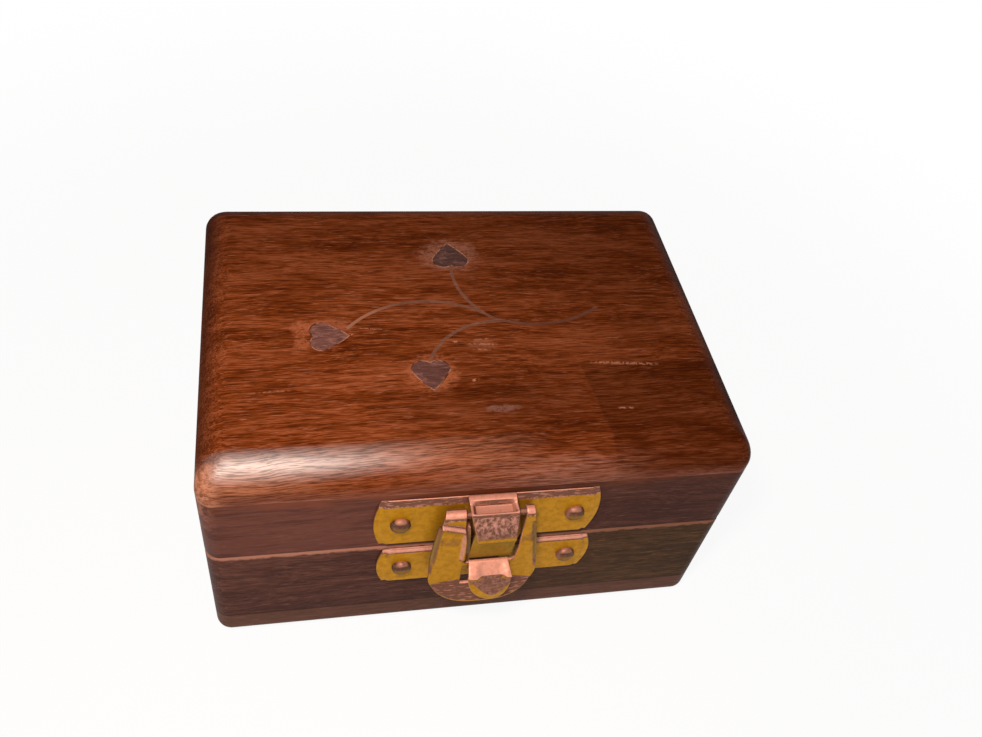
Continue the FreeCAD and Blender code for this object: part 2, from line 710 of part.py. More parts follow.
parts.append(make_lid_plate(lid_holes))
parts.append(make_catch_plate(catch_holes))
parts.append(make_hasp())
parts.append(cylinder("clasp_pin", "clasp_pin_radius", "hasp_top_width",
                      (f"{EARS_X} - hasp_top_width / 2", PIVOT_Y, PIVOT_Z), "right"))
parts.append(clasp_nails("clasp_lid_nails", "clasp_shift", lid_nail_height))
parts.append(clasp_nails("clasp_catch_nails", CATCH_X, catch_nail_height))

doc.recompute()
for thing in doc.Objects:
    if "Invalid" in thing.State or "Error" in thing.State:
        raise RuntimeError(f"{thing.Label} didn't compute: {thing.State}")
for part in parts:
    if part.Shape.isNull() or not part.Shape.isValid() or not part.Shape.Solids:
        raise RuntimeError(f"{part.Label} has no valid solid")

os.makedirs("parts", exist_ok=True)
for part in parts:
    part.Shape.exportStep(f"parts/{part.Label}.step")
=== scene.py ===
import math

import bmesh
import bpy
from mathutils import Matrix, Vector


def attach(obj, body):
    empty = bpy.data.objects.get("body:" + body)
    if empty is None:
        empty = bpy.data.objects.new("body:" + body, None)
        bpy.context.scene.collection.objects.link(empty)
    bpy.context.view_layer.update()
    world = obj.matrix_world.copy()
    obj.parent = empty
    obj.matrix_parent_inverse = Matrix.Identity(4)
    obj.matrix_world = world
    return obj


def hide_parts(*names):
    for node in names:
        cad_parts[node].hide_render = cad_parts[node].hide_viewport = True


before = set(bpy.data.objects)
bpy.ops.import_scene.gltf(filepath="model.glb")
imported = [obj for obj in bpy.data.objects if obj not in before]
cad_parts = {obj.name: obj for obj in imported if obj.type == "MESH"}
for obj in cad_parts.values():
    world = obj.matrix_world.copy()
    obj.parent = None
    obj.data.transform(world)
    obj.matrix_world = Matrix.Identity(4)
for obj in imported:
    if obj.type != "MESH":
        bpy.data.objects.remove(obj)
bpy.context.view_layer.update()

# The looks of a small wooden jewelry box: worn boards, inlay, brass clasp and hinges, velvet pads.
# Lengths below are in millimetres, in the frame of the solids: x to the right, y to the back, z up.
MM = 0.001
FRONT = -35.5
HALF_WIDTH = 50
HALF_DEPTH = 35.5
CORNER_RADIUS = 3
FLOOR_TOP = 7.5
RIM_HEIGHT = 29.2
LID_BOTTOM = 29.5
LID_CEILING = 46


# Node trees
class Graph:
    """Node tree of one material; inputs are sockets or plain values."""

    def __init__(self, name):
        self.material = bpy.data.materials.new(name)
        self.material.use_nodes = True
        self.tree = self.material.node_tree
        self.tree.nodes.clear()

    def node(self, kind, inputs=None, **settings):
        made = self.tree.nodes.new("ShaderNode" + kind)
        for name, value in settings.items():
            setattr(made, name, value)
        for key, value in (inputs or {}).items():
            if isinstance(value, bpy.types.NodeSocket):
                self.tree.links.new(value, made.inputs[key])
            else:
                made.inputs[key].default_value = value
        return made

    def place(self):
        """Place on the object, in millimetres."""
        spot = self.node("TexCoord").outputs["Object"]
        return self.node("VectorMath", {0: spot, "Scale": 1 / MM}, operation="SCALE").outputs[0]

    def facing(self, direction):
        """How far the surface faces a direction of the object, from -1 to 1."""
        normal = self.node("TexCoord").outputs["Normal"]
        return self.dot(normal, direction)

    def dot(self, first, second):
        return self.node("VectorMath", {0: first, 1: second}, operation="DOT_PRODUCT").outputs["Value"]

    def axes(self, vector):
        parts = self.node("SeparateXYZ", {0: vector}).outputs
        return parts[0], parts[1], parts[2]

    def math(self, operation, first, second=0.0):
        return self.node("Math", {0: first, 1: second}, operation=operation).outputs[0]

    def total(self, *pairs):
        """Sum of sockets, each times its own weight."""
        result = 0.0
        for value, weight in pairs:
            result = self.math("ADD", self.math("MULTIPLY", value, weight), result)
        return result

    def product(self, *values):
        result = values[0]
        for value in values[1:]:
            result = self.math("MULTIPLY", result, value)
        return result

    def stretch(self, vector, scale, shift=(0, 0, 0), turn=(0, 0, 0)):
        settings = {"Vector": vector, "Scale": scale, "Location": shift, "Rotation": turn}
        return self.node("Mapping", settings).outputs[0]

    def noise(self, vector, detail=3.0, roughness=0.55, scale=1.0):
        settings = {"Vector": vector, "Scale": scale, "Detail": detail, "Roughness": roughness}
        return self.node("TexNoise", settings).outputs[0]

    def span(self, value, low, high, start=0.0, end=1.0):
        """Smooth step of a value between two bounds."""
        settings = {"Value": value, "From Min": low, "From Max": high, "To Min": start, "To Max": end}
        return self.node("MapRange", settings, interpolation_type="SMOOTHSTEP").outputs[0]

    def moved(self, spot, origin):
        return self.node("VectorMath", {0: spot, 1: (*origin, 0)}, operation="SUBTRACT").outputs[0]

    def near(self, spot, centre, size):
        """Distance from a place on the lid, measured in a size along x and one along y."""
        share = (1 / size[0], 1 / size[1], 0)
        inputs = {0: self.moved(spot, centre), 1: share}
        scaled = self.node("VectorMath", inputs, operation="MULTIPLY").outputs[0]
        return self.node("VectorMath", {0: scaled}, operation="LENGTH").outputs["Value"]

    def scratch(self, spot, start, end, width):
        """1 along a straight mark on the lid, fading over its width and at its ends."""
        along = Vector(end) - Vector(start)
        way = along.normalized()
        from_start = self.moved(spot, start)
        run = self.dot(from_start, (way.x, way.y, 0))
        off = self.math("ABSOLUTE", self.dot(from_start, (-way.y, way.x, 0)))
        fade = along.length / 4
        ends = self.product(self.span(run, 0, fade), self.span(run, along.length, along.length - fade))
        return self.product(ends, self.span(off, width, 0))

    def blend(self, share, first, second, mode="MIX"):
        mix = self.node("Mix", data_type="RGBA", blend_type=mode)
        for index, value in ((0, share), (6, first), (7, second)):
            if isinstance(value, bpy.types.NodeSocket):
                self.tree.links.new(value, mix.inputs[index])
            else:
                mix.inputs[index].default_value = value if index == 0 else (*value, 1)
        return mix.outputs[2]

    def ramp(self, value, stops):
        made = self.node("ValToRGB", {0: value})
        elements = made.color_ramp.elements
        while len(elements) < len(stops):
            elements.new(0.5)
        for element, (position, colour) in zip(elements, stops):
            element.position = position
            element.color = (*colour, 1)
        return made.outputs[0]

    def bump(self, height, strength, distance):
        settings = {"Height": height, "Strength": strength, "Distance": distance * MM}
        return self.node("Bump", settings).outputs[0]

    def surface(self, **inputs):
        """Principled surface as the output; underscores in the names stand for spaces."""
        shader = self.node("BsdfPrincipled", {key.replace("_", " "): value for key, value in inputs.items()})
        self.node("OutputMaterial", {"Surface": shader.outputs[0]})
        return self.material


# Wood
def wood_grain(graph, spot):
    """Fibres, streaks, figure, broad tone, dark pores and pale flecks along x, each from 0 to 1."""
    sway = graph.noise(graph.stretch(spot, (0.03, 0.05, 0.05)), 2)
    x, y, z = graph.axes(spot)
    across = {0: x, 1: graph.total((y, 1), (sway, 4)), 2: graph.total((z, 1), (sway, 4))}
    flow = graph.node("CombineXYZ", across).outputs[0]

    def lines(long, fine, shift, detail, roughness=0.55):
        return graph.noise(graph.stretch(flow, (long, fine, fine), shift), detail, roughness)

    return {
        "fibre": lines(0.28, 5.2, (0, 0, 0), 2.5, 0.65),
        "streak": lines(0.07, 1.0, (7, 3, 1), 4, 0.65),
        "figure": lines(0.05, 0.55, (3, 5, 2), 3, 0.6),
        "broad": lines(0.03, 0.16, (2, 9, 4), 3, 0.6),
        "pore": graph.span(lines(0.20, 3.6, (5, 1, 8), 1.5), 0.56, 0.64),
        "fleck": graph.span(lines(0.26, 3.8, (1, 6, 3), 2.5), 0.60, 0.70),
    }


def rosewood(name, tones, gloss, finish, along_y=False):
    """Open-grain rosewood; finish changes the colour by place and says how dull and how polished it is."""
    dark, middle, light, fleck = tones
    graph = Graph(name)
    spot = graph.place()
    grain = wood_grain(graph, graph.stretch(spot, (1, 1, 1), turn=(0, 0, math.pi / 2)) if along_y else spot)
    tone = graph.total((grain["streak"], 0.31), (grain["fibre"], 0.43), (grain["broad"], 0.26))
    colour = graph.ramp(graph.span(tone, 0.38, 0.62), [(0.0, dark), (0.5, middle), (1.0, light)])
    colour = graph.blend(graph.math("MULTIPLY", grain["pore"], 0.55), colour, dark)
    colour = graph.blend(graph.math("MULTIPLY", grain["fleck"], 0.40), colour, fleck)
    colour, dull, polish = finish(graph, spot, grain, colour)
    if polish:
        polish = graph.product(polish, graph.span(grain["fibre"], 0.36, 0.58, 0.55, 1.0))
    height = graph.total((grain["fibre"], 0.6), (grain["pore"], -0.5))
    roughness = graph.total((graph.span(grain["fibre"], 0.3, 0.7, 0.32, 0.22), 1), (dull, 0.4))
    return graph.surface(Base_Color=colour, Roughness=roughness, Specular_IOR_Level=gloss,
                         Coat_Weight=polish, Coat_Roughness=0.57, Coat_IOR=3.0,
                         Normal=graph.bump(height, 0.25, 0.06))


# Tones from the dark pores over the middle and the light wood to the pale flecks.
TOP_TONES = ((0.060, 0.010, 0.002), (0.165, 0.034, 0.006), (0.290, 0.078, 0.030), (0.50, 0.19, 0.11))
WALL_TONES = ((0.045, 0.015, 0.010), (0.087, 0.030, 0.020), (0.140, 0.053, 0.037), (0.30, 0.14, 0.10))
# Dark stain colour, which also paints shade on the lid and its walls.
DARK_STAIN_AND_SHADE = (0.030, 0.005, 0.001)
PALE_WOOD = (0.52, 0.22, 0.13)
PINK_WOOD = (0.38, 0.17, 0.12)
WARM_WALL = (0.20, 0.068, 0.048)
OLIVE_TINT = (0.72, 0.92, 0.36)
# Colour of painted light on the low part of the rounded front edge.
LIT_EDGE_WALL = (0.25, 0.09, 0.06)
PALE_BOTTOM = (0.16, 0.078, 0.05)
ORANGE_STAIN = (0.22, 0.050, 0.010)
TOP_GLOSS = 0.01
WALL_GLOSS = 0.03
WALL_DULLNESS = 0.4

# How strongly each place of the lid is darkened: stain at the patch and the edges, painted shade to the right
# and towards the back, and a darker place in front of the middle.
LID_STAINS_AND_SHADE = {"patch": 0.24, "edges": 0.55, "right": 0.37, "back": 0.32, "front_middle": 0.28}

# Rubbed places on the lid, most of them round the inlay: place, half size, colour and strength.
RUBBED = [
    ((-0.8, 17.4), (6.5, 5.0), (0.24, 0.095, 0.06), 0.9),
    ((-31.4, -2.4), (2.2, 2.2), (0.36, 0.105, 0.045), 0.8),
    ((-31.2, -6.3), (1.8, 1.5), (0.36, 0.105, 0.045), 0.7),
    ((-26.3, -2.0), (4.7, 2.3), (0.33, 0.10, 0.045), 0.7),
    ((-8.4, -14.6), (5.0, 4.4), (0.34, 0.10, 0.04), 0.8),
    ((2.2, -7.8), (3.2, 1.4), (0.27, 0.10, 0.055), 0.4),
    ((3.3, -23.4), (3.4, 0.9), (0.20, 0.105, 0.085), 0.6),
]
# Scratches on the lid: start, end, width and strength.
SCRATCHES = [
    ((21.0, -13.2), (37.0, -14.5), 0.55, 0.55),
    ((-1.4, -7.5), (5.6, -7.9), 0.30, 0.6),
    ((0.2, -6.6), (3.8, -6.3), 0.30, 0.5),
    ((-0.2, -8.9), (3.8, -9.3), 0.30, 0.5),
    ((-3.8, -6.9), (-2.4, -6.9), 0.35, 0.7),
    ((-1.5, -16.8), (0.2, -16.2), 0.45, 0.8),
    ((-22.4, -4.2), (-21.9, -4.4), 0.40, 0.8),
    ((-21.4, -2.6), (-16.0, -3.1), 0.28, 0.5),
    ((-42.0, -17.6), (-33.0, -17.2), 0.28, 0.4),
    ((24.5, -24.6), (28.0, -24.8), 0.35, 0.6),
]


def lid_stains_and_shade(graph, spot, ragged):
    """How much each darkened place of the lid covers a spot, from 0 to 1, stain and painted shade alike."""
    x, y, _ = graph.axes(spot)
    rough_x = graph.total((x, 1), (y, 0.12), (ragged, 1.5))
    sides = graph.product(graph.span(graph.math("ABSOLUTE", x), 45.5, 49.3), graph.span(y, -33, -26))
    return {
        "patch": graph.product(graph.span(rough_x, 18.9, 19.5), graph.span(y, -12.5, -14.5)),
        "edges": graph.math("MAXIMUM", sides, graph.span(y, 29, 35)),
        # Painted shade: darker to the right and towards the back, where the light falls off.
        "right": graph.product(graph.span(x, -25, 40), graph.span(y, 28, 5, 0.6, 1.0)),
        "back": graph.span(y, -5, 30),
        "front_middle": graph.span(graph.near(spot, (2, -22), (22, 9)), 1.3, 0.3),
    }


def lid_marks(graph, spot, ragged, colour):
    """Rubbed places and broken scratches on the lid."""
    worked = graph.noise(graph.stretch(spot, (1.6, 3.0, 1.0)), 3, 0.7)
    for centre, size, tint, strength in RUBBED:
        reach = graph.total((graph.near(spot, centre, size), 1), (ragged, 1.2))
        share = graph.product(graph.span(reach, 1.75, 1.25), graph.span(worked, 0.30, 0.58), strength)
        colour = graph.blend(share, colour, tint)
    broken = graph.span(graph.noise(graph.stretch(spot, (1.4, 1.4, 1.4)), 2), 0.38, 0.55)
    for start, end, width, strength in SCRATCHES:
        mark = graph.product(graph.scratch(spot, start, end, width), broken, strength)
        colour = graph.blend(mark, colour, PALE_WOOD)
    return colour


def lid_front_edge(graph, spot, strokes, colour):
    """Worn pale left corner and a pink joint line, with painted light along the rounded front edge: a paler
    band low on it, a pale glow beside the highlight and along its top, and pink sheen over the clasp.
    """
    x, y, z = graph.axes(spot)
    # Painted light: a paler band low on the rounded edge.
    low = graph.product(graph.span(z, 49.0, 47), graph.span(y, -33, -34.5), strokes, 0.6)
    colour = graph.blend(low, colour, LIT_EDGE_WALL)
    speck = graph.span(graph.noise(graph.stretch(spot, (0.5, 1.5, 1.5)), 4, 0.7), 0.42, 0.60, 0.25, 1.0)
    # The worn left corner, then painted highlight: a pale glow beside the polished highlight and along the
    # top of the edge in the middle.
    corner = graph.product(graph.span(x, -44, -48), graph.span(y, -30, -32.5), speck)
    beside = graph.product(graph.span(x, -20, -43), graph.span(y, -30.5, -33), strokes, 0.65)
    beside = graph.product(beside, graph.span(z, 47.0, 50.5, 0.15, 1.0))
    crest = graph.product(graph.span(x, 14, -4), graph.span(x, -34, -12), graph.span(y, -28.5, -30.5))
    crest = graph.product(crest, graph.span(z, 50.5, 52.5), strokes, 0.30)
    # Worn corner and painted glow together.
    pale = graph.math("MAXIMUM", graph.math("MAXIMUM", corner, beside), crest)
    colour = graph.blend(pale, colour, PALE_WOOD)
    streaks = graph.noise(graph.stretch(spot, (0.12, 2.5, 2.5)), 3, 0.65)
    joint = graph.product(graph.span(z, 46.9, 46.3), graph.span(streaks, 0.42, 0.6), 0.4)
    # Painted sheen in pink streaks over the clasp, in the joint line's colour.
    over_clasp = graph.product(graph.span(x, 34, 16), graph.span(x, -20, 4), graph.span(z, 53.0, 50.5))
    rubbed = graph.product(over_clasp, graph.span(streaks, 0.38, 0.60, 0.1, 1.0), strokes, 0.65)
    joint_and_sheen = graph.product(graph.math("MAXIMUM", joint, rubbed), graph.span(y, -29.5, -32))
    return graph.blend(joint_and_sheen, colour, PINK_WOOD)


def lid_polish(graph, spot):
    """Hand-polished left half of the rounded front edge."""
    x, y, z = graph.axes(spot)
    ridge = graph.product(graph.span(y, -28.9, -30.5), graph.span(z, 50.0, 52.2))
    return graph.product(ridge, graph.span(x, -4, -36), graph.span(x, -49.5, -45))


def lid_finish(graph, spot, grain, colour):
    """Stain, wear, painted shade and painted highlight of the lid; its stained edges are dull and its front
    edge is polished.
    """
    ragged = graph.noise(graph.stretch(spot, (0.6, 1.2, 1.0)), 3)
    darkened_places = lid_stains_and_shade(graph, spot, ragged)
    # Darkening from stain and painted shade together.
    shade = graph.total(*((darkened_places[place], strength) for place, strength in LID_STAINS_AND_SHADE.items()))
    colour = graph.blend(shade, colour, DARK_STAIN_AND_SHADE)
    colour = lid_marks(graph, spot, ragged, colour)
    strokes = graph.span(grain["fibre"], 0.38, 0.58, 0.25, 1.0)
    colour = lid_front_edge(graph, spot, strokes, colour)
    return colour, darkened_places["edges"], lid_polish(graph, spot)


def lid_wall_finish(graph, spot, grain, colour):
    """Stain of the top that runs down the lid's walls, painted shade that darkens them to the right, and the
    rubbed corner at the front left.
    """
    x, y, z = graph.axes(spot)
    ragged = graph.noise(graph.stretch(spot, (0.10, 0.6, 0.6)), 3)
    stained = graph.span(graph.total((z, 1), (ragged, 9)), 47.5, 51.0, 0, 0.8)
    colour = graph.blend(graph.product(stained, graph.span(x, 35, -10, 0.35, 1.0)), colour, ORANGE_STAIN)
    colour = graph.blend(graph.span(x, 5, -25, 0, 0.5), colour, WARM_WALL)
    # Painted shade: the walls darken to the right, as the light falls off there.
    colour = graph.blend(graph.span(x, -10, 50, 0, 0.30), colour, DARK_STAIN_AND_SHADE)
    colour = graph.blend(graph.span(grain["figure"], 0.48, 0.62, 0, 0.45), colour, WALL_TONES[0])
    speck = graph.span(graph.noise(spot, 3, 0.6, 0.8), 0.45, 0.65)
    near_front = graph.span(y, -28, -34)
    corner = graph.product(graph.span(x, -46.5, -49.5), graph.span(z, 36, 43), near_front, speck, 0.6)
    return graph.blend(corner, colour, PALE_WOOD), WALL_DULLNESS, 0


def above_bottom(graph, z, colour):
    """Dark glue line where the walls stand on the bottom board."""
    line = graph.span(graph.math("ABSOLUTE", graph.math("SUBTRACT", z, FLOOR_TOP)), 0.45, 0.1, 0, 0.6)
    return graph.blend(line, colour, DARK_STAIN_AND_SHADE)


def base_wall_finish(graph, spot, grain, colour):
    """Worn pale arris at the seam, an olive tint at the front right and the glue line."""
    x, y, z = graph.axes(spot)
    ragged = graph.noise(graph.stretch(spot, (0.6, 0.6, 1.2)), 4, 0.65)
    olive = graph.product(graph.span(x, -25, 35, 0, 0.85), graph.span(y, -25, -34))
    colour = graph.blend(olive, colour, OLIVE_TINT, "MULTIPLY")
    worn = graph.span(graph.total((z, 1), (ragged, 1.3)), 28.75, 29.3)
    past_x = graph.math("SUBTRACT", graph.math("ABSOLUTE", x), HALF_WIDTH)
    past_y = graph.math("SUBTRACT", graph.math("ABSOLUTE", y), HALF_DEPTH)
    outer = graph.span(graph.math("MAXIMUM", past_x, past_y), -1.6, -0.7)
    share = graph.product(worn, outer, graph.span(x, 30, -30, 0.5, 0.9))
    colour = graph.blend(share, colour, PINK_WOOD)
    return above_bottom(graph, z, colour), WALL_DULLNESS, 0


def bottom_finish(graph, spot, grain, colour):
    """Paler bottom board with the same dark glue line."""
    colour = graph.blend(0.35, colour, PALE_BOTTOM)
    return above_bottom(graph, graph.axes(spot)[2], colour), WALL_DULLNESS, 0


top_wood = rosewood("rosewood_top", TOP_TONES, TOP_GLOSS, lid_finish)
lid_wood = rosewood("rosewood_lid", WALL_TONES, WALL_GLOSS, lid_wall_finish)
lid_end_wood = rosewood("rosewood_lid_ends", WALL_TONES, WALL_GLOSS, lid_wall_finish, along_y=True)
base_wood = rosewood("rosewood_base", WALL_TONES, WALL_GLOSS, base_wall_finish)
base_end_wood = rosewood("rosewood_base_ends", WALL_TONES, WALL_GLOSS, base_wall_finish, along_y=True)
bottom_wood = rosewood("rosewood_bottom", WALL_TONES, WALL_GLOSS, bottom_finish)


# Brass
YELLOW_BRASS = (0.53, 0.245, 0.003)
# Painted light: the brown tone stands for dark reflected where the sheet leans back, the pink for the
# highlight where it faces up, the side tone for lit faces turned left and the shaded tone for faces turned
# right or down.
SHADE_BROWN_BRASS = (0.17, 0.072, 0.052)
HIGHLIGHT_PINK_BRASS = (0.84, 0.38, 0.28)
LIT_SIDE_BRASS = (0.68, 0.31, 0.22)
# Pale pink of painted highlight on leaning faces, blotched like scuffs.
SCUFF_HIGHLIGHT_BRASS = (0.72, 0.33, 0.25)
SHADED_BRASS = (0.17, 0.07, 0.015)
SHADE_OLIVE_BRASS = (0.23, 0.18, 0.03)
MOTTLED_BRASS = (0.20, 0.09, 0.02)
# Dark grime, which also paints shade in hollows and on the pin.
GRIME_AND_SHADE = (0.06, 0.03, 0.02)


def brass_tone(graph, x, lean):
    """Painted light and shade by the way the sheet faces: yellow in front, brown painted reflection where it
    leans back, pink painted highlight where it faces up, lit pink on faces turned left but brown on the outer
    left flank, painted shade on faces turned right or down.
    """
    colour = graph.ramp(lean, [(0.08, SHADED_BRASS), (0.24, YELLOW_BRASS), (0.43, YELLOW_BRASS),
                               (0.50, SHADE_BROWN_BRASS), (0.78, SHADE_BROWN_BRASS), (0.92, HIGHLIGHT_PINK_BRASS)])
    aside = graph.facing((1, 0, 0))
    left_face_light = graph.blend(graph.span(x, -7, -6), SHADE_BROWN_BRASS, LIT_SIDE_BRASS)
    colour = graph.blend(graph.span(aside, -0.40, -0.75, 0, 0.9), colour, left_face_light)
    return graph.blend(graph.span(aside, 0.40, 0.75, 0, 0.8), colour, SHADED_BRASS)


def brass_scuffs_and_glints(graph, spot, z, lean, colour):
    """Painted highlight in pale blotches where the sheet leans a little, paler higher up, and slanted
    scratches in the lit side tone where it leans more.
    """
    leaning = graph.product(graph.span(lean, 0.46, 0.50), graph.span(lean, 0.66, 0.58))
    blotch = graph.span(graph.noise(graph.stretch(spot, (1.6, 1.6, 0.9)), 3, 0.7), 0.38, 0.64)
    paler = graph.span(z, 37.0, 42.5, 0.35, 0.9)
    colour = graph.blend(graph.product(leaning, blotch, paler), colour, SCUFF_HIGHLIGHT_BRASS)
    tilted = graph.product(graph.span(lean, 0.58, 0.64), graph.span(lean, 0.90, 0.82))
    marks = graph.noise(graph.stretch(spot, (0.5, 0.5, 3.2), turn=(0, 0.7, 0)), 3, 0.6)
    return graph.blend(graph.product(tilted, graph.span(marks, 0.52, 0.64), 0.55), colour, LIT_SIDE_BRASS)


def lug_dish(graph, y, z):
    """1 on the floor of the dish in the lug's shelf."""
    sunk = graph.product(graph.span(z, 44.4, 44.1), graph.span(z, 43.2, 43.4))
    return graph.product(sunk, graph.span(y, FRONT - 1.6, FRONT - 2.0))


def lug_tongue(graph, y, z):
    """1 on the front of the tongue below the lug."""
    front = graph.product(graph.span(y, FRONT - 2.9, FRONT - 3.05), graph.span(y, FRONT - 3.4, FRONT - 3.2))
    return graph.product(front, graph.span(z, 36.6, 36.2), graph.span(z, 26.5, 27.5))


def brass(name, wear, dirt_and_shade=0.0):
    """Aged stamped brass with painted light and shade; wear is the strength of its dark grit, and the last
    argument that of the darkening all over it: grime on the nails and hinges, painted shade on the pin.
    """
    graph = Graph(name)
    spot = graph.place()
    x, y, z = graph.axes(spot)
    mottle = graph.noise(spot, 4, 0.6, 0.9)
    grit = graph.noise(spot, 3, 0.65, 2.8)
    # How far each face turns up and to the front, which sets the painted light and shade.
    lean = graph.total((graph.facing((0, -0.3, 0.95)), 1), (grit, 0.10), (mottle, 0.05))
    colour = brass_tone(graph, x, lean)
    colour = brass_scuffs_and_glints(graph, spot, z, lean, colour)
    # Painted shade: ambient occlusion darkens the hollows of each piece and the gaps between its parts.
    occlusion = graph.node("AmbientOcclusion", {"Distance": 2.2 * MM}, samples=8, only_local=True).outputs["AO"]
    colour = graph.blend(graph.span(occlusion, 0.85, 0.35, 0.0, 0.6), colour, GRIME_AND_SHADE)
    # Painted shade on the floor of the dish in the lug's shelf.
    brown = graph.product(lug_dish(graph, y, z), graph.span(mottle, 0.3, 0.65, 0.25, 0.0))
    colour = graph.blend(brown, colour, SHADE_BROWN_BRASS)
    colour = graph.blend(graph.span(mottle, 0.35, 0.7, 0.0, 0.3), colour, MOTTLED_BRASS)
    # Painted shade on the front of the tongue under the lug.
    colour = graph.blend(graph.product(lug_tongue(graph, y, z), 0.5), colour, SHADE_OLIVE_BRASS)
    colour = graph.blend(graph.span(grit, 0.62, 0.72, 0, wear), colour, GRIME_AND_SHADE)
    if dirt_and_shade:
        colour = graph.blend(graph.span(mottle, 0.3, 0.7, dirt_and_shade, dirt_and_shade / 2), colour, GRIME_AND_SHADE)
    roughness = graph.span(mottle, 0.3, 0.7, 0.42, 0.60)
    return graph.surface(Base_Color=colour, Roughness=roughness, Metallic=0.45, Specular_IOR_Level=0.04,
                         Normal=graph.bump(grit, 0.25, 0.05))


plate_brass = brass("brass_plates", wear=0.5)
nail_brass = brass("brass_nails", wear=0.7, dirt_and_shade=0.75)
hinge_brass = brass("brass_hinges", wear=0.9, dirt_and_shade=0.2)
# The pin is darkened all over as painted shade, for it sits deep in the rolled ears.
shaded_pin_brass = brass("brass_pin_shaded", wear=0.9, dirt_and_shade=0.8)


# Inlay
def inlay(name, dark, light, pale, stained=False):
    """Thin slip of another wood let into the lid, worn pale in places; with the last argument set it is paler
    to the left and darkens to the right with painted shade, like the lid around it.
    """
    graph = Graph(name)
    spot = graph.place()
    grain = wood_grain(graph, spot)
    colour = graph.ramp(graph.span(grain["fibre"], 0.35, 0.65), [(0.0, dark), (1.0, light)])
    patches = graph.span(graph.noise(graph.stretch(spot, (0.5, 1.3, 1)), 4, 0.7), 0.50, 0.68, 0, 0.6)
    colour = graph.blend(patches, colour, pale)
    if stained:
        x = graph.axes(spot)[0]
        # Paler to the left, and painted shade to the right like that on the lid around the stems.
        colour = graph.blend(graph.span(x, -12, -20, 0, 0.35), colour, PALE_WOOD)
        colour = graph.blend(graph.span(x, 2, 14, 0, 0.5), colour, TOP_TONES[0])
    return graph.surface(Base_Color=colour, Roughness=0.5, Specular_IOR_Level=0.15,
                         Normal=graph.bump(grain["fibre"], 0.3, 0.06))


leaf_woods = {
    "back": inlay("leaf_slip_back", (0.040, 0.017, 0.014), (0.080, 0.034, 0.028), (0.22, 0.10, 0.08)),
    "left": inlay("leaf_slip_left", (0.090, 0.034, 0.027), (0.190, 0.075, 0.059), (0.33, 0.15, 0.12)),
    "front": inlay("leaf_slip_front", (0.065, 0.025, 0.020), (0.135, 0.052, 0.041), (0.28, 0.12, 0.10)),
}
stem_wood = inlay("stem_strip", (0.12, 0.042, 0.024), (0.18, 0.072, 0.044), (0.26, 0.11, 0.07), stained=True)


def glue(name):
    """Pale glue line round a slip of inlay, rubbed away in places to the wood under it."""
    graph = Graph(name)
    spot = graph.place()
    kept = graph.span(graph.noise(spot, 2, 0.5, 0.55), 0.33, 0.55)
    tone = graph.noise(spot, 3, 0.6, 3.0)
    pale = graph.ramp(tone, [(0.3, (0.24, 0.095, 0.06)), (0.7, (0.42, 0.19, 0.13))])
    colour = graph.blend(kept, TOP_TONES[0], pale)
    return graph.surface(Base_Color=colour, Roughness=0.6, Specular_IOR_Level=0.1,
                         Normal=graph.bump(tone, 0.3, 0.05))


pale_glue = glue("glue_line")


# Velvet
def velvet(name, colour, sheen):
    """Velvet whose short pile is painted darker in its hollows, as shade, and shines softly at a low angle.
    """
    graph = Graph(name)
    pile = graph.noise(graph.place(), 4, 0.65, 1.4)
    # Painted shade: the low places of the pile's bump get the darker tone.
    tone = graph.ramp(graph.span(pile, 0.3, 0.7), [(0.0, tuple(0.6 * c for c in colour)), (1.0, colour)])
    return graph.surface(Base_Color=tone, Roughness=0.95, Sheen_Weight=0.8, Sheen_Roughness=0.35,
                         Sheen_Tint=(*sheen, 1), Normal=graph.bump(pile, 0.4, 0.15))


red_velvet = velvet("velvet_red", (0.22, 0.015, 0.03), (0.9, 0.35, 0.38))


# Meshes
# Faces above this area, in square millimetres, are shaded flat, and edges above this angle are sharp.
FLAT_AREA = 8
SHARP_ANGLE = math.radians(38)
# Points closer than these are joined: on a copied solid or a new sheet, and on a sheet that was cut.
WELD = 0.001
SLIVER = 0.004


def add_piece(name, meshes, material, body, nodes):
    """One object made of the given meshes, which rides on a body and stands for CAD nodes."""
    joined = bmesh.new()
    for mesh in meshes:
        joined.from_mesh(mesh)
        bpy.data.meshes.remove(mesh)
    result = bpy.data.meshes.new(name)
    joined.to_mesh(result)
    joined.free()
    result.materials.append(material)
    result.shade_smooth()
    result.set_sharp_from_angle(angle=SHARP_ANGLE)
    for face in result.polygons:
        if face.area > FLAT_AREA * MM * MM:
            face.use_smooth = False
    piece = bpy.data.objects.new(name, result)
    bpy.context.scene.collection.objects.link(piece)
    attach(piece, body)
    if nodes:
        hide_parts(*nodes)
    return piece


def as_mesh(form, name):
    """Mesh of a finished form, cleaned of slivers and with its faces turned outward."""
    bmesh.ops.dissolve_degenerate(form, edges=form.edges, dist=SLIVER * MM)
    bmesh.ops.recalc_face_normals(form, faces=form.faces)
    mesh = bpy.data.meshes.new(name)
    form.to_mesh(mesh)
    form.free()
    return mesh


def bowed(start, end, bulge, count=14):
    """Points on the arc from start to end, without the end, that bulges to the right of the way."""
    (x0, z0), (x1, z1) = start, end
    chord = math.hypot(x1 - x0, z1 - z0)
    radius = chord * chord / (8 * bulge) + bulge / 2
    side = Vector((z1 - z0, x0 - x1)) / chord
    centre = Vector(((x0 + x1) / 2, (z0 + z1) / 2)) + side * (bulge - radius)
    first = math.atan2(z0 - centre.y, x0 - centre.x)
    sweep = 2 * math.asin(min(1, chord / (2 * radius)))
    turns = [first + sweep * i / count for i in range(count)]
    return [(centre.x + radius * math.cos(t), centre.y + radius * math.sin(t)) for t in turns]


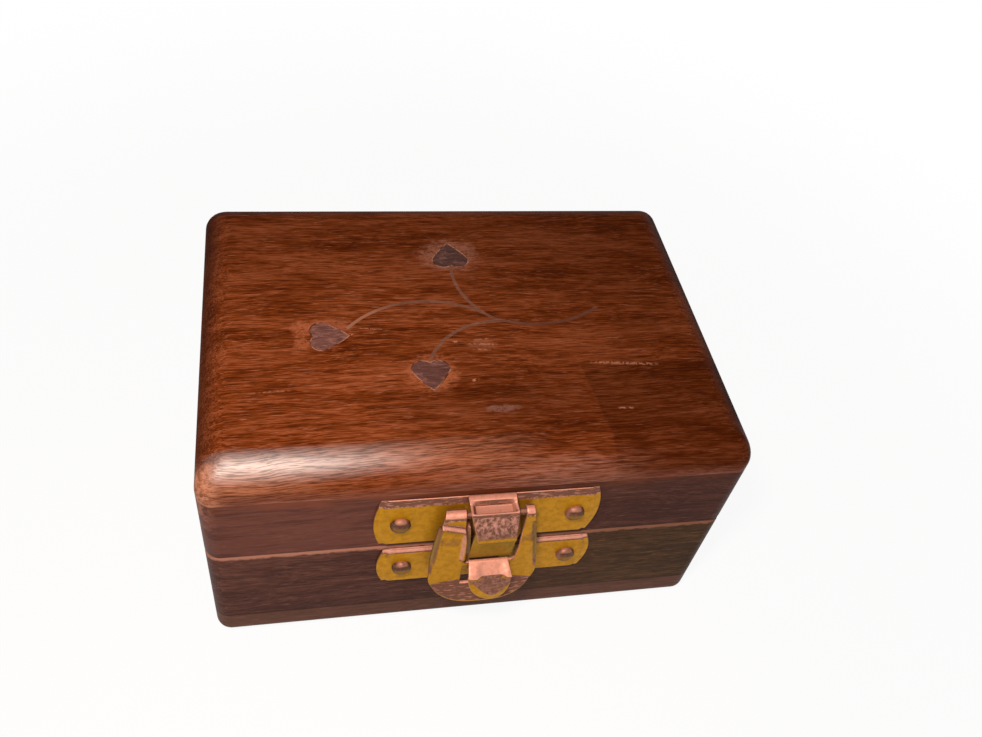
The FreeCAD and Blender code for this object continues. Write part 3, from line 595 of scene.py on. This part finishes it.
def round_end(middle, half, level, depth, fullness, count):
    """Points from left to right along a full round end that hangs below a level."""
    points = []
    for turn in (math.pi * i / count for i in range(count + 1)):
        across = math.copysign(abs(math.cos(turn)) ** fullness, math.cos(turn))
        points.append((middle - half * across, level - depth * math.sin(turn) ** fullness))
    return points


def stamped(loops, thickness, rim):
    """Flat sheet with rounded rims inside closed outlines in x and z; its back is at y = 0."""
    curve = bpy.data.curves.new("sheet", "CURVE")
    curve.dimensions = "2D"
    curve.fill_mode = "BOTH"
    curve.extrude = (thickness / 2 - rim) * MM
    curve.bevel_depth = rim * MM
    curve.bevel_resolution = 2
    curve.offset = -rim * MM
    for loop in loops:
        spline = curve.splines.new("POLY")
        spline.points.add(len(loop) - 1)
        for point, (x, z) in zip(spline.points, loop):
            point.co = (x * MM, z * MM, 0, 1)
        spline.use_cyclic_u = True
    holder = bpy.data.objects.new("sheet", curve)
    bpy.context.scene.collection.objects.link(holder)
    mesh = bpy.data.meshes.new_from_object(holder.evaluated_get(bpy.context.evaluated_depsgraph_get()))
    bpy.data.objects.remove(holder)
    bpy.data.curves.remove(curve)
    mesh.transform(Matrix.Translation((0, -thickness / 2 * MM, 0)) @ Matrix.Rotation(math.pi / 2, 4, "X"))
    return mesh


def formed(mesh, levels, form):
    """Cut a sheet along levels of x and z, then give each point the x, outward y and z that form returns."""
    sheet = bmesh.new()
    sheet.from_mesh(mesh)
    bpy.data.meshes.remove(mesh)
    bmesh.ops.remove_doubles(sheet, verts=sheet.verts, dist=WELD * MM)
    for axis, values in levels.items():
        direction = Vector((1, 0, 0)) if axis == "x" else Vector((0, 0, 1))
        for value in values:
            everything = sheet.verts[:] + sheet.edges[:] + sheet.faces[:]
            bmesh.ops.bisect_plane(sheet, geom=everything, plane_co=direction * value * MM,
                                   plane_no=direction)
    bmesh.ops.remove_doubles(sheet, verts=sheet.verts, dist=SLIVER * MM)
    for vertex in sheet.verts:
        x, out, z = form(vertex.co.x / MM, -vertex.co.y / MM, vertex.co.z / MM)
        vertex.co = (x * MM, (FRONT - out) * MM, z * MM)
    return as_mesh(sheet, "formed")


def steps(low, high, pitch):
    """Even steps from low to high, both included, about a pitch apart."""
    count = int(round((high - low) / pitch))
    return [low + (high - low) * i / count for i in range(count + 1)]


def smooth(value, low, high):
    """Smooth step from 0 to 1 between two bounds."""
    t = min(1.0, max(0.0, (value - low) / (high - low)))
    return t * t * (3 - 2 * t)


def lathe(profile, centre, turns=32):
    """Round form about an axis along y; profile gives radius and outward height from rim to middle."""
    form = bmesh.new()
    rings = []
    for radius, out in profile[:-1]:
        rings.append([form.verts.new(((centre[0] + radius * math.cos(t)) * MM, (FRONT - out) * MM,
                                      (centre[1] + radius * math.sin(t)) * MM))
                      for t in (2 * math.pi * i / turns for i in range(turns))])
    top = form.verts.new((centre[0] * MM, (FRONT - profile[-1][1]) * MM, centre[1] * MM))
    for low, high in zip(rings, rings[1:]):
        for i in range(turns):
            form.faces.new((low[i], low[(i + 1) % turns], high[(i + 1) % turns], high[i]))
    for i in range(turns):
        form.faces.new((rings[-1][i], rings[-1][(i + 1) % turns], top))
    form.faces.new(list(reversed(rings[0])))
    return as_mesh(form, "lathe")


def loft(sections, soften):
    """Solid through closed sections of equal length, each a list of points; sharp edges are eased."""
    form = bmesh.new()
    rows = [[form.verts.new(Vector(point) * MM) for point in section] for section in sections]
    count = len(rows[0])
    for first, second in zip(rows, rows[1:]):
        for i in range(count):
            form.faces.new((first[i], first[(i + 1) % count], second[(i + 1) % count], second[i]))
    form.faces.new(list(reversed(rows[0])))
    form.faces.new(rows[-1])
    bmesh.ops.recalc_face_normals(form, faces=form.faces)
    sharp = [edge for edge in form.edges if edge.calc_face_angle(0) > math.radians(40)]
    bmesh.ops.bevel(form, geom=sharp, offset=soften * MM, segments=3, profile=0.5, affect="EDGES",
                    clamp_overlap=True)
    return as_mesh(form, "loft")


# Boards with worn arrises at the seam
BASE_WEAR = 0.9
LID_WEAR = 0.4
SKIN_SLACK = 0.05
LEVEL_SLACK = 0.01


def on_skin(vertex, level):
    """Whether a corner of a board lies on the outside of the box at a height."""
    past_x = max(0.0, abs(vertex.co.x) / MM - HALF_WIDTH + CORNER_RADIUS)
    past_y = max(0.0, abs(vertex.co.y) / MM - HALF_DEPTH + CORNER_RADIUS)
    outside = math.hypot(past_x, past_y) > CORNER_RADIUS - SKIN_SLACK
    return outside and abs(vertex.co.z / MM - level) < LEVEL_SLACK


def worn_board(node_name, name, body, level, wear, material):
    """Copy of a board whose outer arris at the seam is rubbed round."""
    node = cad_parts[node_name]
    form = bmesh.new()
    form.from_mesh(node.data)
    form.transform(node.matrix_world)
    bmesh.ops.remove_doubles(form, verts=form.verts, dist=WELD * MM)
    bmesh.ops.dissolve_limit(form, angle_limit=math.radians(1), verts=form.verts, edges=form.edges)
    arris = [edge for edge in form.edges if all(on_skin(vertex, level) for vertex in edge.verts)]
    bmesh.ops.bevel(form, geom=arris, offset=wear * MM, segments=4, profile=0.5, affect="EDGES",
                    clamp_overlap=True)
    add_piece(name, [as_mesh(form, name)], material, body, [node_name])


def make_boards():
    for side in ("front", "left", "right"):
        worn_board(f"base_{side}_wall", f"base_{side}_board", "base", RIM_HEIGHT, BASE_WEAR,
                   base_wood if side == "front" else base_end_wood)
        worn_board(f"lid_{side}_wall", f"lid_{side}_board", "lid", LID_BOTTOM, LID_WEAR,
                   lid_wood if side == "front" else lid_end_wood)


# Glue lines round the leaves
GLUE_HALF = 0.13
GLUE_HEIGHT = 0.03


def top_outline(node_name):
    """Points round the top face of an inlaid slip, in order."""
    source = bmesh.new()
    source.from_mesh(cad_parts[node_name].data)
    bmesh.ops.remove_doubles(source, verts=source.verts, dist=WELD * MM)
    top = max(vertex.co.z for vertex in source.verts)
    crown = [face for face in source.faces if all(top - vertex.co.z < WELD * MM for vertex in face.verts)]
    rim = [edge for edge in source.edges if sum(face in crown for face in edge.link_faces) == 1]
    links = {}
    for edge in rim:
        for vertex in edge.verts:
            links.setdefault(vertex, []).append(edge.other_vert(vertex))
    ring = [rim[0].verts[0], rim[0].verts[1]]
    while len(ring) < len(rim):
        ring.append([vertex for vertex in links[ring[-1]] if vertex != ring[-2]][0])
    points = [vertex.co.copy() for vertex in ring]
    source.free()
    return points


def glue_line(node_name):
    """Low ridge that follows the outline of an inlaid slip at the top of the lid."""
    ring = top_outline(node_name)
    lift = Vector((0, 0, GLUE_HEIGHT * MM))
    form = bmesh.new()
    rows = []
    for i, middle in enumerate(ring):
        way = (ring[(i + 1) % len(ring)] - ring[i - 1]).normalized()
        aside = Vector((-way.y, way.x, 0)) * GLUE_HALF * MM
        corners = (middle - aside - lift, middle - aside * 0.6 + lift, middle + aside * 0.6 + lift,
                   middle + aside - lift)
        rows.append([form.verts.new(corner) for corner in corners])
    for row, other in zip(rows, rows[1:] + rows[:1]):
        for i in range(4):
            form.faces.new((row[i], row[(i + 1) % 4], other[(i + 1) % 4], other[i]))
    return as_mesh(form, "glue")


def make_glue_lines():
    lines = [glue_line(f"leaf_inlay_{name}") for name in leaf_woods]
    add_piece("leaf_glue_lines", lines, pale_glue, "lid", [])


# Clasp
CLASP_X = 0.65
CATCH_X = 1.75
BELL_X = 0.75
NOSE_X = 1.25
PLATE_HALF = 21.0
PLATE_BULGE = 1.2
PLATE_THICKNESS = 0.8
NAIL_SPACING = 32.4
PIN_OUT = 2.35
PIN_Z = 41.7
EAR_RADIUS = 1.25
SHEET = 0.6
HASP_OUT = 3.9


def plate_sheet(middle, bottom, top, roll, roll_height):
    """Nailing plate whose round ends and top edge are pressed back a little towards the wood."""
    reach = PLATE_HALF - PLATE_BULGE
    left, right = middle - reach, middle + reach
    loop = [(left, bottom)] + bowed((right, bottom), (right, top), PLATE_BULGE) + [(right, top)]
    loop += bowed((left, top), (left, bottom), PLATE_BULGE)
    pressed, rim, band = 0.25, 0.8, 1.5

    def press(x, out, z):
        height = (2 * z - bottom - top) / (top - bottom)
        end = PLATE_HALF - PLATE_BULGE * height * height
        inside = end - abs(x - middle)
        sunk = pressed * (1 - smooth(inside, rim, band)) + roll * (1 - smooth(top - z, 0.0, roll_height))
        return x, out * (1 - sunk / PLATE_THICKNESS), z

    cuts = [middle + side * (PLATE_HALF - inside) for inside in steps(0, 4, 0.2) for side in (-1, 1)]
    levels = {"x": cuts, "z": steps(bottom, top - 2, 1.2)[1:] + steps(top - 1.8, top, 0.2)[:-1]}
    return formed(stamped([loop], PLATE_THICKNESS, 0.28), levels, press)


def nail_head(x, z):
    """Domed head of one clasp nail."""
    profile = [(1.85, PLATE_THICKNESS), (1.87, 1.15), (1.72, 1.55), (1.35, 1.87), (0.78, 2.06), (0, 2.1)]
    return lathe(profile, (x, z))


def lug():
    """Folded lug of the lid plate: a dished shelf, a leaning front and a tongue below it."""
    shelf = [(0.3, 44.9), (0.9, 45.0), (1.5, 44.95), (2.0, 44.5), (3.0, 44.5), (3.7, 44.6), (4.2, 44.7)]
    front = [(4.5, 44.2), (4.6, 43.4), (5.05, 41.0), (5.5, 38.6), (5.7, 37.4), (5.6, 36.9), (5.1, 36.65)]
    tongue = [(3.4, 36.6), (3.15, 35.8), (3.1, 33.0), (3.1, 27.8), (2.4, 27.8), (2.4, 35.6), (0.3, 36.2)]
    dished = shelf[3:6]
    shelf_z, tongue_z = 44.8, 36.6
    sections = []
    for share in (-1, -0.95, -0.86, -0.76, -0.5, -0.25, 0, 0.25, 0.5, 0.76, 0.86, 0.95, 1):
        dip = 0.75 * (1 - smooth(abs(share), 0.74, 0.93))
        section = []
        for out, z in shelf + front:
            below = shelf_z - z
            middle, half = 0.45 + 0.14 * below, 4.35 - 0.11 * below
            height = z - dip if (out, z) in dished else z
            section.append((middle + share * half, FRONT - out, height))
        for out, z in tongue:
            below = tongue_z - z
            middle, half = 2.1 - 0.04 * below, 4.15 + 0.01 * below
            section.append((middle + share * half, FRONT - out, z))
        sections.append(section)
    return loft(sections, 0.3)


# The hasp's sheet: its widest place, the round lower end, the ears and the notch under the lug.
BELL_HALF = 10.5
BELL_LEFT = BELL_X - BELL_HALF
BELL_RIGHT = BELL_X + BELL_HALF
BELL_Z = 23.3
BELL_DEPTH = 7.3
BELL_FULLNESS = 0.8
BELL_BOW = 0.35
LEFT_EAR = -8.6
RIGHT_EAR = 8.3
EAR_TOP = PIN_Z + 3.9
NOTCH_Z = 27.5


def bell_loops():
    """Outline of the flat hasp sheet with its notch and ears, and the window in it."""
    loop = round_end(BELL_X, BELL_HALF, BELL_Z, BELL_DEPTH, BELL_FULLNESS, 60)
    loop += bowed((BELL_RIGHT, BELL_Z), (RIGHT_EAR, PIN_Z), BELL_BOW, 8)[1:]
    loop += [(RIGHT_EAR, PIN_Z), (8.1, EAR_TOP), (6.6, EAR_TOP), (6.6, PIN_Z), (6.6, 31.0)]
    loop += [(6.4, NOTCH_Z + 0.6), (5.8, NOTCH_Z), (-2.9, NOTCH_Z), (-3.5, NOTCH_Z + 0.6), (-3.7, 36.0)]
    loop += [(-4.1, 38.5), (-4.3, PIN_Z), (-4.1, EAR_TOP), (-7.4, EAR_TOP), (-8.2, PIN_Z + 0.8)]
    loop += bowed((LEFT_EAR, PIN_Z - 0.8), (BELL_LEFT, BELL_Z), BELL_BOW, 8)
    window = [(-3.4, 20.6), (5.6, 20.6), (5.6, 26.4), (-3.4, 26.4)]
    return [loop, window]


def from_flank(x, z):
    """How far a point of the hasp lies inside the nearer side edge."""
    share = (PIN_Z - z) / (PIN_Z - BELL_Z)
    bulge = 4 * BELL_BOW * share * (1 - share)
    return min(x - LEFT_EAR - (BELL_LEFT - LEFT_EAR) * share + bulge,
               RIGHT_EAR + (BELL_RIGHT - RIGHT_EAR) * share + bulge - x)


def bell_shape(x, out, z):
    """Place of a point of the flat hasp sheet once it is bent."""
    inner = EAR_RADIUS - SHEET
    if z > PIN_Z:
        turn = (z - PIN_Z) / (inner + SHEET / 2)
        radius = inner + out
        return x, PIN_OUT + radius * math.cos(turn), PIN_Z + radius * math.sin(turn)
    base = PIN_OUT + inner + 0.3 * (1 - smooth(z, 32.6, 37.4))
    turned = 0.8 * (1 - smooth(from_flank(x, z), 0, 1.2)) * smooth(z, 23.5, 29) * (1 - smooth(z, 38.5, 40.5))
    crease = 39.3 - 0.4 * (x + 6)
    ridge = 0.8 * math.exp(-((z - crease) / 0.6) ** 2) if x < -3 else 0
    fold = 0.9 * smooth(x, -4.7, -3.7) * smooth(z, 28.2, 30) * (1 - smooth(z, 37, 39)) if x < 0 else 0
    aside = min(1.0, abs(x - BELL_X) / BELL_HALF)
    rim = BELL_Z - BELL_DEPTH * (1 - aside ** (2 / BELL_FULLNESS)) ** (BELL_FULLNESS / 2) + 0.45
    arch = 21.4 - 1.6 * aside ** 4
    flare = 0.42 * max(0.0, arch - max(z, rim))
    return x, base + out + flare + ridge + fold - turned, z


def bell():
    """Hasp sheet: bell outline with a notch and a window, turned flanks, flared lip and rolled ears."""
    across = steps(BELL_LEFT, BELL_LEFT + 2.4, 0.2)[1:] + steps(-7, -5, 0.4) + steps(-4.8, -3.2, 0.2)
    across += steps(-2.5, 7, 0.5) + steps(BELL_RIGHT - 4, BELL_RIGHT, 0.2)[:-1]
    cuts = steps(16.1, BELL_Z, 0.3) + steps(23.8, 34.8, 0.55) + steps(35.0, PIN_Z, 0.22)
    cuts += steps(PIN_Z, EAR_TOP, 0.22)
    return formed(stamped(bell_loops(), SHEET, 0.18), {"z": cuts, "x": across}, bell_shape)


def finger_tab():
    """Thumb tab: a dished shelf that juts out, a leaning front below it and a skirt round the front."""
    middle, root, bend = 1.4, 27.7, 26.1
    rim_middle, rim_half, rim_low = 1.8, 3.7, 5.3
    root_half, skirt_half, skirt_low, fullness = 3.75, 4.2, 7.3, 0.85
    shelf_drop, shelf_out, lean = 1.6, 2.2, 0.27
    loop = [(middle - root_half, root)]
    loop += round_end(middle, skirt_half, bend, skirt_low, fullness, 40)
    loop += [(middle + root_half, root)]

    def jut(drop):
        return shelf_out * min(1.0, drop / shelf_drop) + lean * max(0.0, drop - shelf_drop)

    def shape(x, out, z):
        across = abs(x - rim_middle)
        drop = root - z
        narrowing = max(0.0, bend - z) / rim_low
        reach = max(1.0, ((across / rim_half) ** 1.6 + narrowing ** 1.6) ** (1 / 1.6))
        wall = 0.7 * smooth(drop, 0.1, 1.0) * (1 - smooth(drop, 1.6, 2.8)) * smooth(across, 1.6, 3.0)
        rise = jut(min(drop, shelf_drop) + max(0.0, drop - shelf_drop) / reach) - 0.6 * (reach - 1)
        return x + 0.08 * drop, HASP_OUT - SHEET + out + rise + wall, z

    cuts = {"z": steps(18.9, 27.6, 0.2), "x": steps(middle - skirt_half, middle + skirt_half, 0.3)[1:-1]}
    return formed(stamped([loop], SHEET, 0.15), cuts, shape)


def catch_nose():
    """Wedge on the catch plate that stands in the hasp's window."""
    profile = [(0.3, 21.6), (2.7, 21.6), (2.7, 22.8), (0.8, 26.0), (0.3, 26.0)]
    sections = [[(NOSE_X + x, FRONT - out, z) for out, z in profile] for x in (-3.0, -1.0, 1.0, 3.0)]
    return loft(sections, 0.2)


def tongue_flange():
    """Narrow side wall of the lug that runs down beside the tongue."""
    top, bottom, shoulder = 38.4, 28.5, 37.4
    profile = [(PLATE_THICKNESS, top), (3.0, top), (3.3, shoulder), (3.3, 28.9), (2.9, bottom)]
    profile += [(PLATE_THICKNESS, bottom)]
    sections = []
    for x, sunk in ((-4.4, 1.4), (-3.7, 0.7), (-3.0, 0.0)):
        sections.append([(x + 0.09 * (shoulder - z), FRONT - max(PLATE_THICKNESS, out - sunk), z)
                         for out, z in profile])
    return loft(sections, 0.15)


def make_clasp():
    lid_bottom, lid_top = 31.1, 44.6
    catch_bottom, catch_top = 17.3, 28.4
    lid_sheet = plate_sheet(CLASP_X, lid_bottom, lid_top, roll=0.5, roll_height=1.5)
    lid_plate = [lid_sheet, lug(), tongue_flange()]
    add_piece("lid_plate", lid_plate, plate_brass, "lid", ["clasp_lid_plate"])
    catch_sheet = plate_sheet(CATCH_X, catch_bottom, catch_top, roll=0.55, roll_height=0.9)
    catch_plate = [catch_sheet, catch_nose()]
    add_piece("catch_plate", catch_plate, plate_brass, "base", ["clasp_catch_plate"])
    add_piece("hasp", [bell(), finger_tab()], plate_brass, "hasp", ["clasp_hasp"])
    nails = {"lid": (CLASP_X, (lid_bottom + lid_top) / 2), "catch": (CATCH_X, (catch_bottom + catch_top) / 2)}
    for part, (middle, height) in nails.items():
        heads = [nail_head(middle + side * NAIL_SPACING / 2, height) for side in (-1, 1)]
        add_piece(f"{part}_nail_heads", heads, nail_brass, "lid" if part == "lid" else "base",
                  [f"clasp_{part}_nails"])


# Velvet pads
PAD_HALF = (42.0, 27.5)
PAD_EDGE = 1.3
PAD_CROWN = 2.2
PAD_DRAWN = (0.012, 0.018)
PAD_COLUMNS = 56
PAD_ROWS = 38
# The cloth is filled at ten times its size, since its default settings suit larger things.
SIM_SCALE = 10
SIM_PRESSURE = 4
SIM_FRAMES = 20


def pad_form(seat, up):
    """Closed pad on a grid, flat where it lies and drawn in between its corners, as yet unfilled."""
    columns, rows = PAD_COLUMNS, PAD_ROWS
    form = bmesh.new()
    sheets = {}
    for side in (0, 1):
        for i in range(columns + 1):
            for j in range(rows + 1):
                u, v = 2 * i / columns - 1, 2 * j / rows - 1
                x = PAD_HALF[0] * u * (1 - PAD_DRAWN[0] * (1 - v * v))
                y = PAD_HALF[1] * v * (1 - PAD_DRAWN[1] * (1 - u * u))
                border = min(1 - abs(u), (1 - abs(v)) * PAD_HALF[1] / PAD_HALF[0])
                height = side * PAD_EDGE * (0.45 + 0.55 * smooth(border, 0, 0.05))
                sheets[side, i, j] = form.verts.new(Vector((x, y, seat + up * height)) * MM * SIM_SCALE)
    for i in range(columns):
        for j in range(rows):
            for side in (0, 1):
                form.faces.new([sheets[side, i + a, j + b] for a, b in ((0, 0), (1, 0), (1, 1), (0, 1))])
    ring = [(i, 0) for i in range(columns)] + [(columns, j) for j in range(rows)]
    ring += [(i, rows) for i in range(columns, 0, -1)] + [(0, j) for j in range(rows, 0, -1)]
    for (i, j), (k, m) in zip(ring, ring[1:] + ring[:1]):
        form.faces.new((sheets[0, i, j], sheets[0, k, m], sheets[1, k, m], sheets[1, i, j]))
    return as_mesh(form, "pad")


def fill_pad(mesh, seat):
    """Blow the pad up as cloth under pressure, held where it lies, with each point's move kept in bounds."""
    start = [vertex.co.copy() for vertex in mesh.vertices]
    holder = bpy.data.objects.new("pad", mesh)
    bpy.context.scene.collection.objects.link(holder)
    held = holder.vertex_groups.new(name="held")
    level = seat * MM * SIM_SCALE
    seated = [vertex.index for vertex in mesh.vertices if abs(vertex.co.z - level) < WELD * MM]
    held.add(seated, 1.0, "REPLACE")
    cloth = holder.modifiers.new("fill", "CLOTH").settings
    cloth.use_pressure = True
    cloth.uniform_pressure_force = SIM_PRESSURE
    cloth.effector_weights.gravity = 0
    cloth.vertex_group_mass = "held"
    for moment in range(1, SIM_FRAMES + 1):
        bpy.context.scene.frame_set(moment)
    filled = bpy.data.meshes.new_from_object(holder.evaluated_get(bpy.context.evaluated_depsgraph_get()))
    bpy.data.objects.remove(holder)
    bpy.data.meshes.remove(mesh)
    bpy.context.scene.frame_set(1)
    reach = PAD_CROWN * MM * SIM_SCALE
    for vertex, first in zip(filled.vertices, start):
        move = vertex.co - first
        if move.length > reach:
            vertex.co = first + move * (reach / move.length)
    return filled


def make_pads():
    for name, body, seat, up in (("floor", "base", FLOOR_TOP, 1), ("lid", "lid", LID_CEILING, -1)):
        mesh = pad_form(seat, up)
        mesh = fill_pad(mesh, seat)
        mesh.transform(Matrix.Scale(1 / SIM_SCALE, 4))
        piece = add_piece(f"{name}_velvet", [mesh], red_velvet, body, [f"{name}_pad"])
        piece.modifiers.new("soft", "SUBSURF").render_levels = 1


make_boards()
make_glue_lines()
make_clasp()
make_pads()


# Node materials
def dress(names, material):
    """Give a material to solids that stay in view."""
    for name in names:
        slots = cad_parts[name].data.materials
        slots.clear()
        slots.append(material)


ends = ("left", "right")
dress(["lid_top_board"], top_wood)
dress(["bottom_board"], bottom_wood)
dress(["base_back_wall"], base_wood)
dress(["lid_back_wall"], lid_wood)
for name, leaf_wood in leaf_woods.items():
    dress([f"leaf_inlay_{name}"], leaf_wood)
dress([f"vine_stem_{name}" for name in ("main", "left", "front")], stem_wood)
dress([f"hinge_{end}_{piece}" for end in ends for piece in ("base_leaf", "lid_leaf", "pin")], hinge_brass)
dress(["hinge_base_nails", "hinge_lid_nails"], hinge_brass)
dress(["clasp_pin"], shaded_pin_brass)


# Stage
def seen_ray(graph):
    """1 for rays that show the background: from the camera, from gloss and through glass."""
    path = graph.node("LightPath").outputs
    gloss = graph.math("MAXIMUM", path["Is Glossy Ray"], path["Is Transmission Ray"])
    return graph.math("MAXIMUM", path["Is Camera Ray"], gloss)


FLOOR_REACH = 3000
SHADOW_NEAR = 90
SHADOW_FAR = 260
FLOOR_GLOW = 0.92


def make_floor():
    """Pale floor that shows white, but keeps a soft shadow near the object."""
    graph = Graph("pale_floor")
    paint = graph.node("BsdfDiffuse", {"Color": (0.9, 0.9, 0.9, 1)}).outputs[0]
    glow = graph.node("Emission", {"Color": (1, 1, 1, 1), "Strength": 1.0}).outputs[0]
    away = graph.node("VectorMath", {0: graph.place()}, operation="LENGTH").outputs["Value"]
    share = graph.product(seen_ray(graph), graph.span(away, SHADOW_NEAR, SHADOW_FAR, FLOOR_GLOW, 1.0))
    mixed = graph.node("MixShader", {0: share, 1: paint, 2: glow}).outputs[0]
    graph.node("OutputMaterial", {"Surface": mixed})
    reach = FLOOR_REACH * MM
    corners = [(-reach, -reach, 0), (reach, -reach, 0), (reach, reach, 0), (-reach, reach, 0)]
    mesh = bpy.data.meshes.new("floor")
    mesh.from_pydata(corners, [], [(0, 1, 2, 3)])
    mesh.materials.append(graph.material)
    floor = bpy.data.objects.new("floor", mesh)
    bpy.context.scene.collection.objects.link(floor)


class WorldGraph(Graph):
    """Node tree of the world."""

    def __init__(self):
        world = bpy.data.worlds.new("studio")
        world.use_nodes = True
        bpy.context.scene.world = world
        self.tree = world.node_tree
        self.tree.nodes.clear()


def make_world():
    """White at and below the horizon, dim towards the ceiling, with a soft fill for the shaded sides."""
    graph = WorldGraph()
    height = graph.axes(graph.node("TexCoord").outputs["Generated"])[2]
    white = graph.span(height, 0.25, 0.6, 1.0, 0.08)
    shown = graph.node("Background", {"Color": (1, 1, 1, 1), "Strength": white}).outputs[0]
    light = graph.node("Background", {"Color": (1, 0.97, 0.94, 1), "Strength": 0.28}).outputs[0]
    mixed = graph.node("MixShader", {0: seen_ray(graph), 1: light, 2: shown}).outputs[0]
    graph.node("OutputWorld", {"Surface": mixed})


def area_light(name, position, target, size, power, colour):
    """Round soft lamp at a position, turned to a target."""
    lamp = bpy.data.lights.new(name, "AREA")
    lamp.shape = "DISK"
    lamp.size = size * MM
    lamp.energy = power
    lamp.color = colour
    made = bpy.data.objects.new(name, lamp)
    made.location = Vector(position) * MM
    made.rotation_euler = (Vector(target) - Vector(position)).to_track_quat("-Z", "Y").to_euler()
    bpy.context.scene.collection.objects.link(made)


CAMERA_PLACE = Vector((-33.2775, -123.5478, 180.0712))
CAMERA_RIGHT = Vector((0.97695904, -0.16664197, 0.13334724))
CAMERA_DOWN = Vector((-0.0378056, -0.75003069, -0.66032166))
CAMERA_FORWARD = Vector((0.21005182, 0.64006594, -0.73904927))
CAMERA_SENSOR = 36
CAMERA_LENS = 33.83
CLIP_START = 5


def make_camera():
    """Camera at the photograph's viewing angle."""
    data = bpy.data.cameras.new("camera")
    data.sensor_width = CAMERA_SENSOR
    data.lens = CAMERA_LENS
    data.clip_start = CLIP_START * MM
    camera = bpy.data.objects.new("camera", data)
    axes = Matrix((CAMERA_RIGHT, -CAMERA_DOWN, -CAMERA_FORWARD)).transposed().to_4x4()
    camera.matrix_world = Matrix.Translation(CAMERA_PLACE * MM) @ axes
    bpy.context.scene.collection.objects.link(camera)
    bpy.context.scene.camera = camera


make_floor()
make_world()
area_light("key", position=(-58, -110, 224), target=(-5, -10, 35), size=30, power=0.46,
           colour=(1, 0.86, 0.76))
make_camera()
bpy.context.scene.view_settings.view_transform = "Standard"
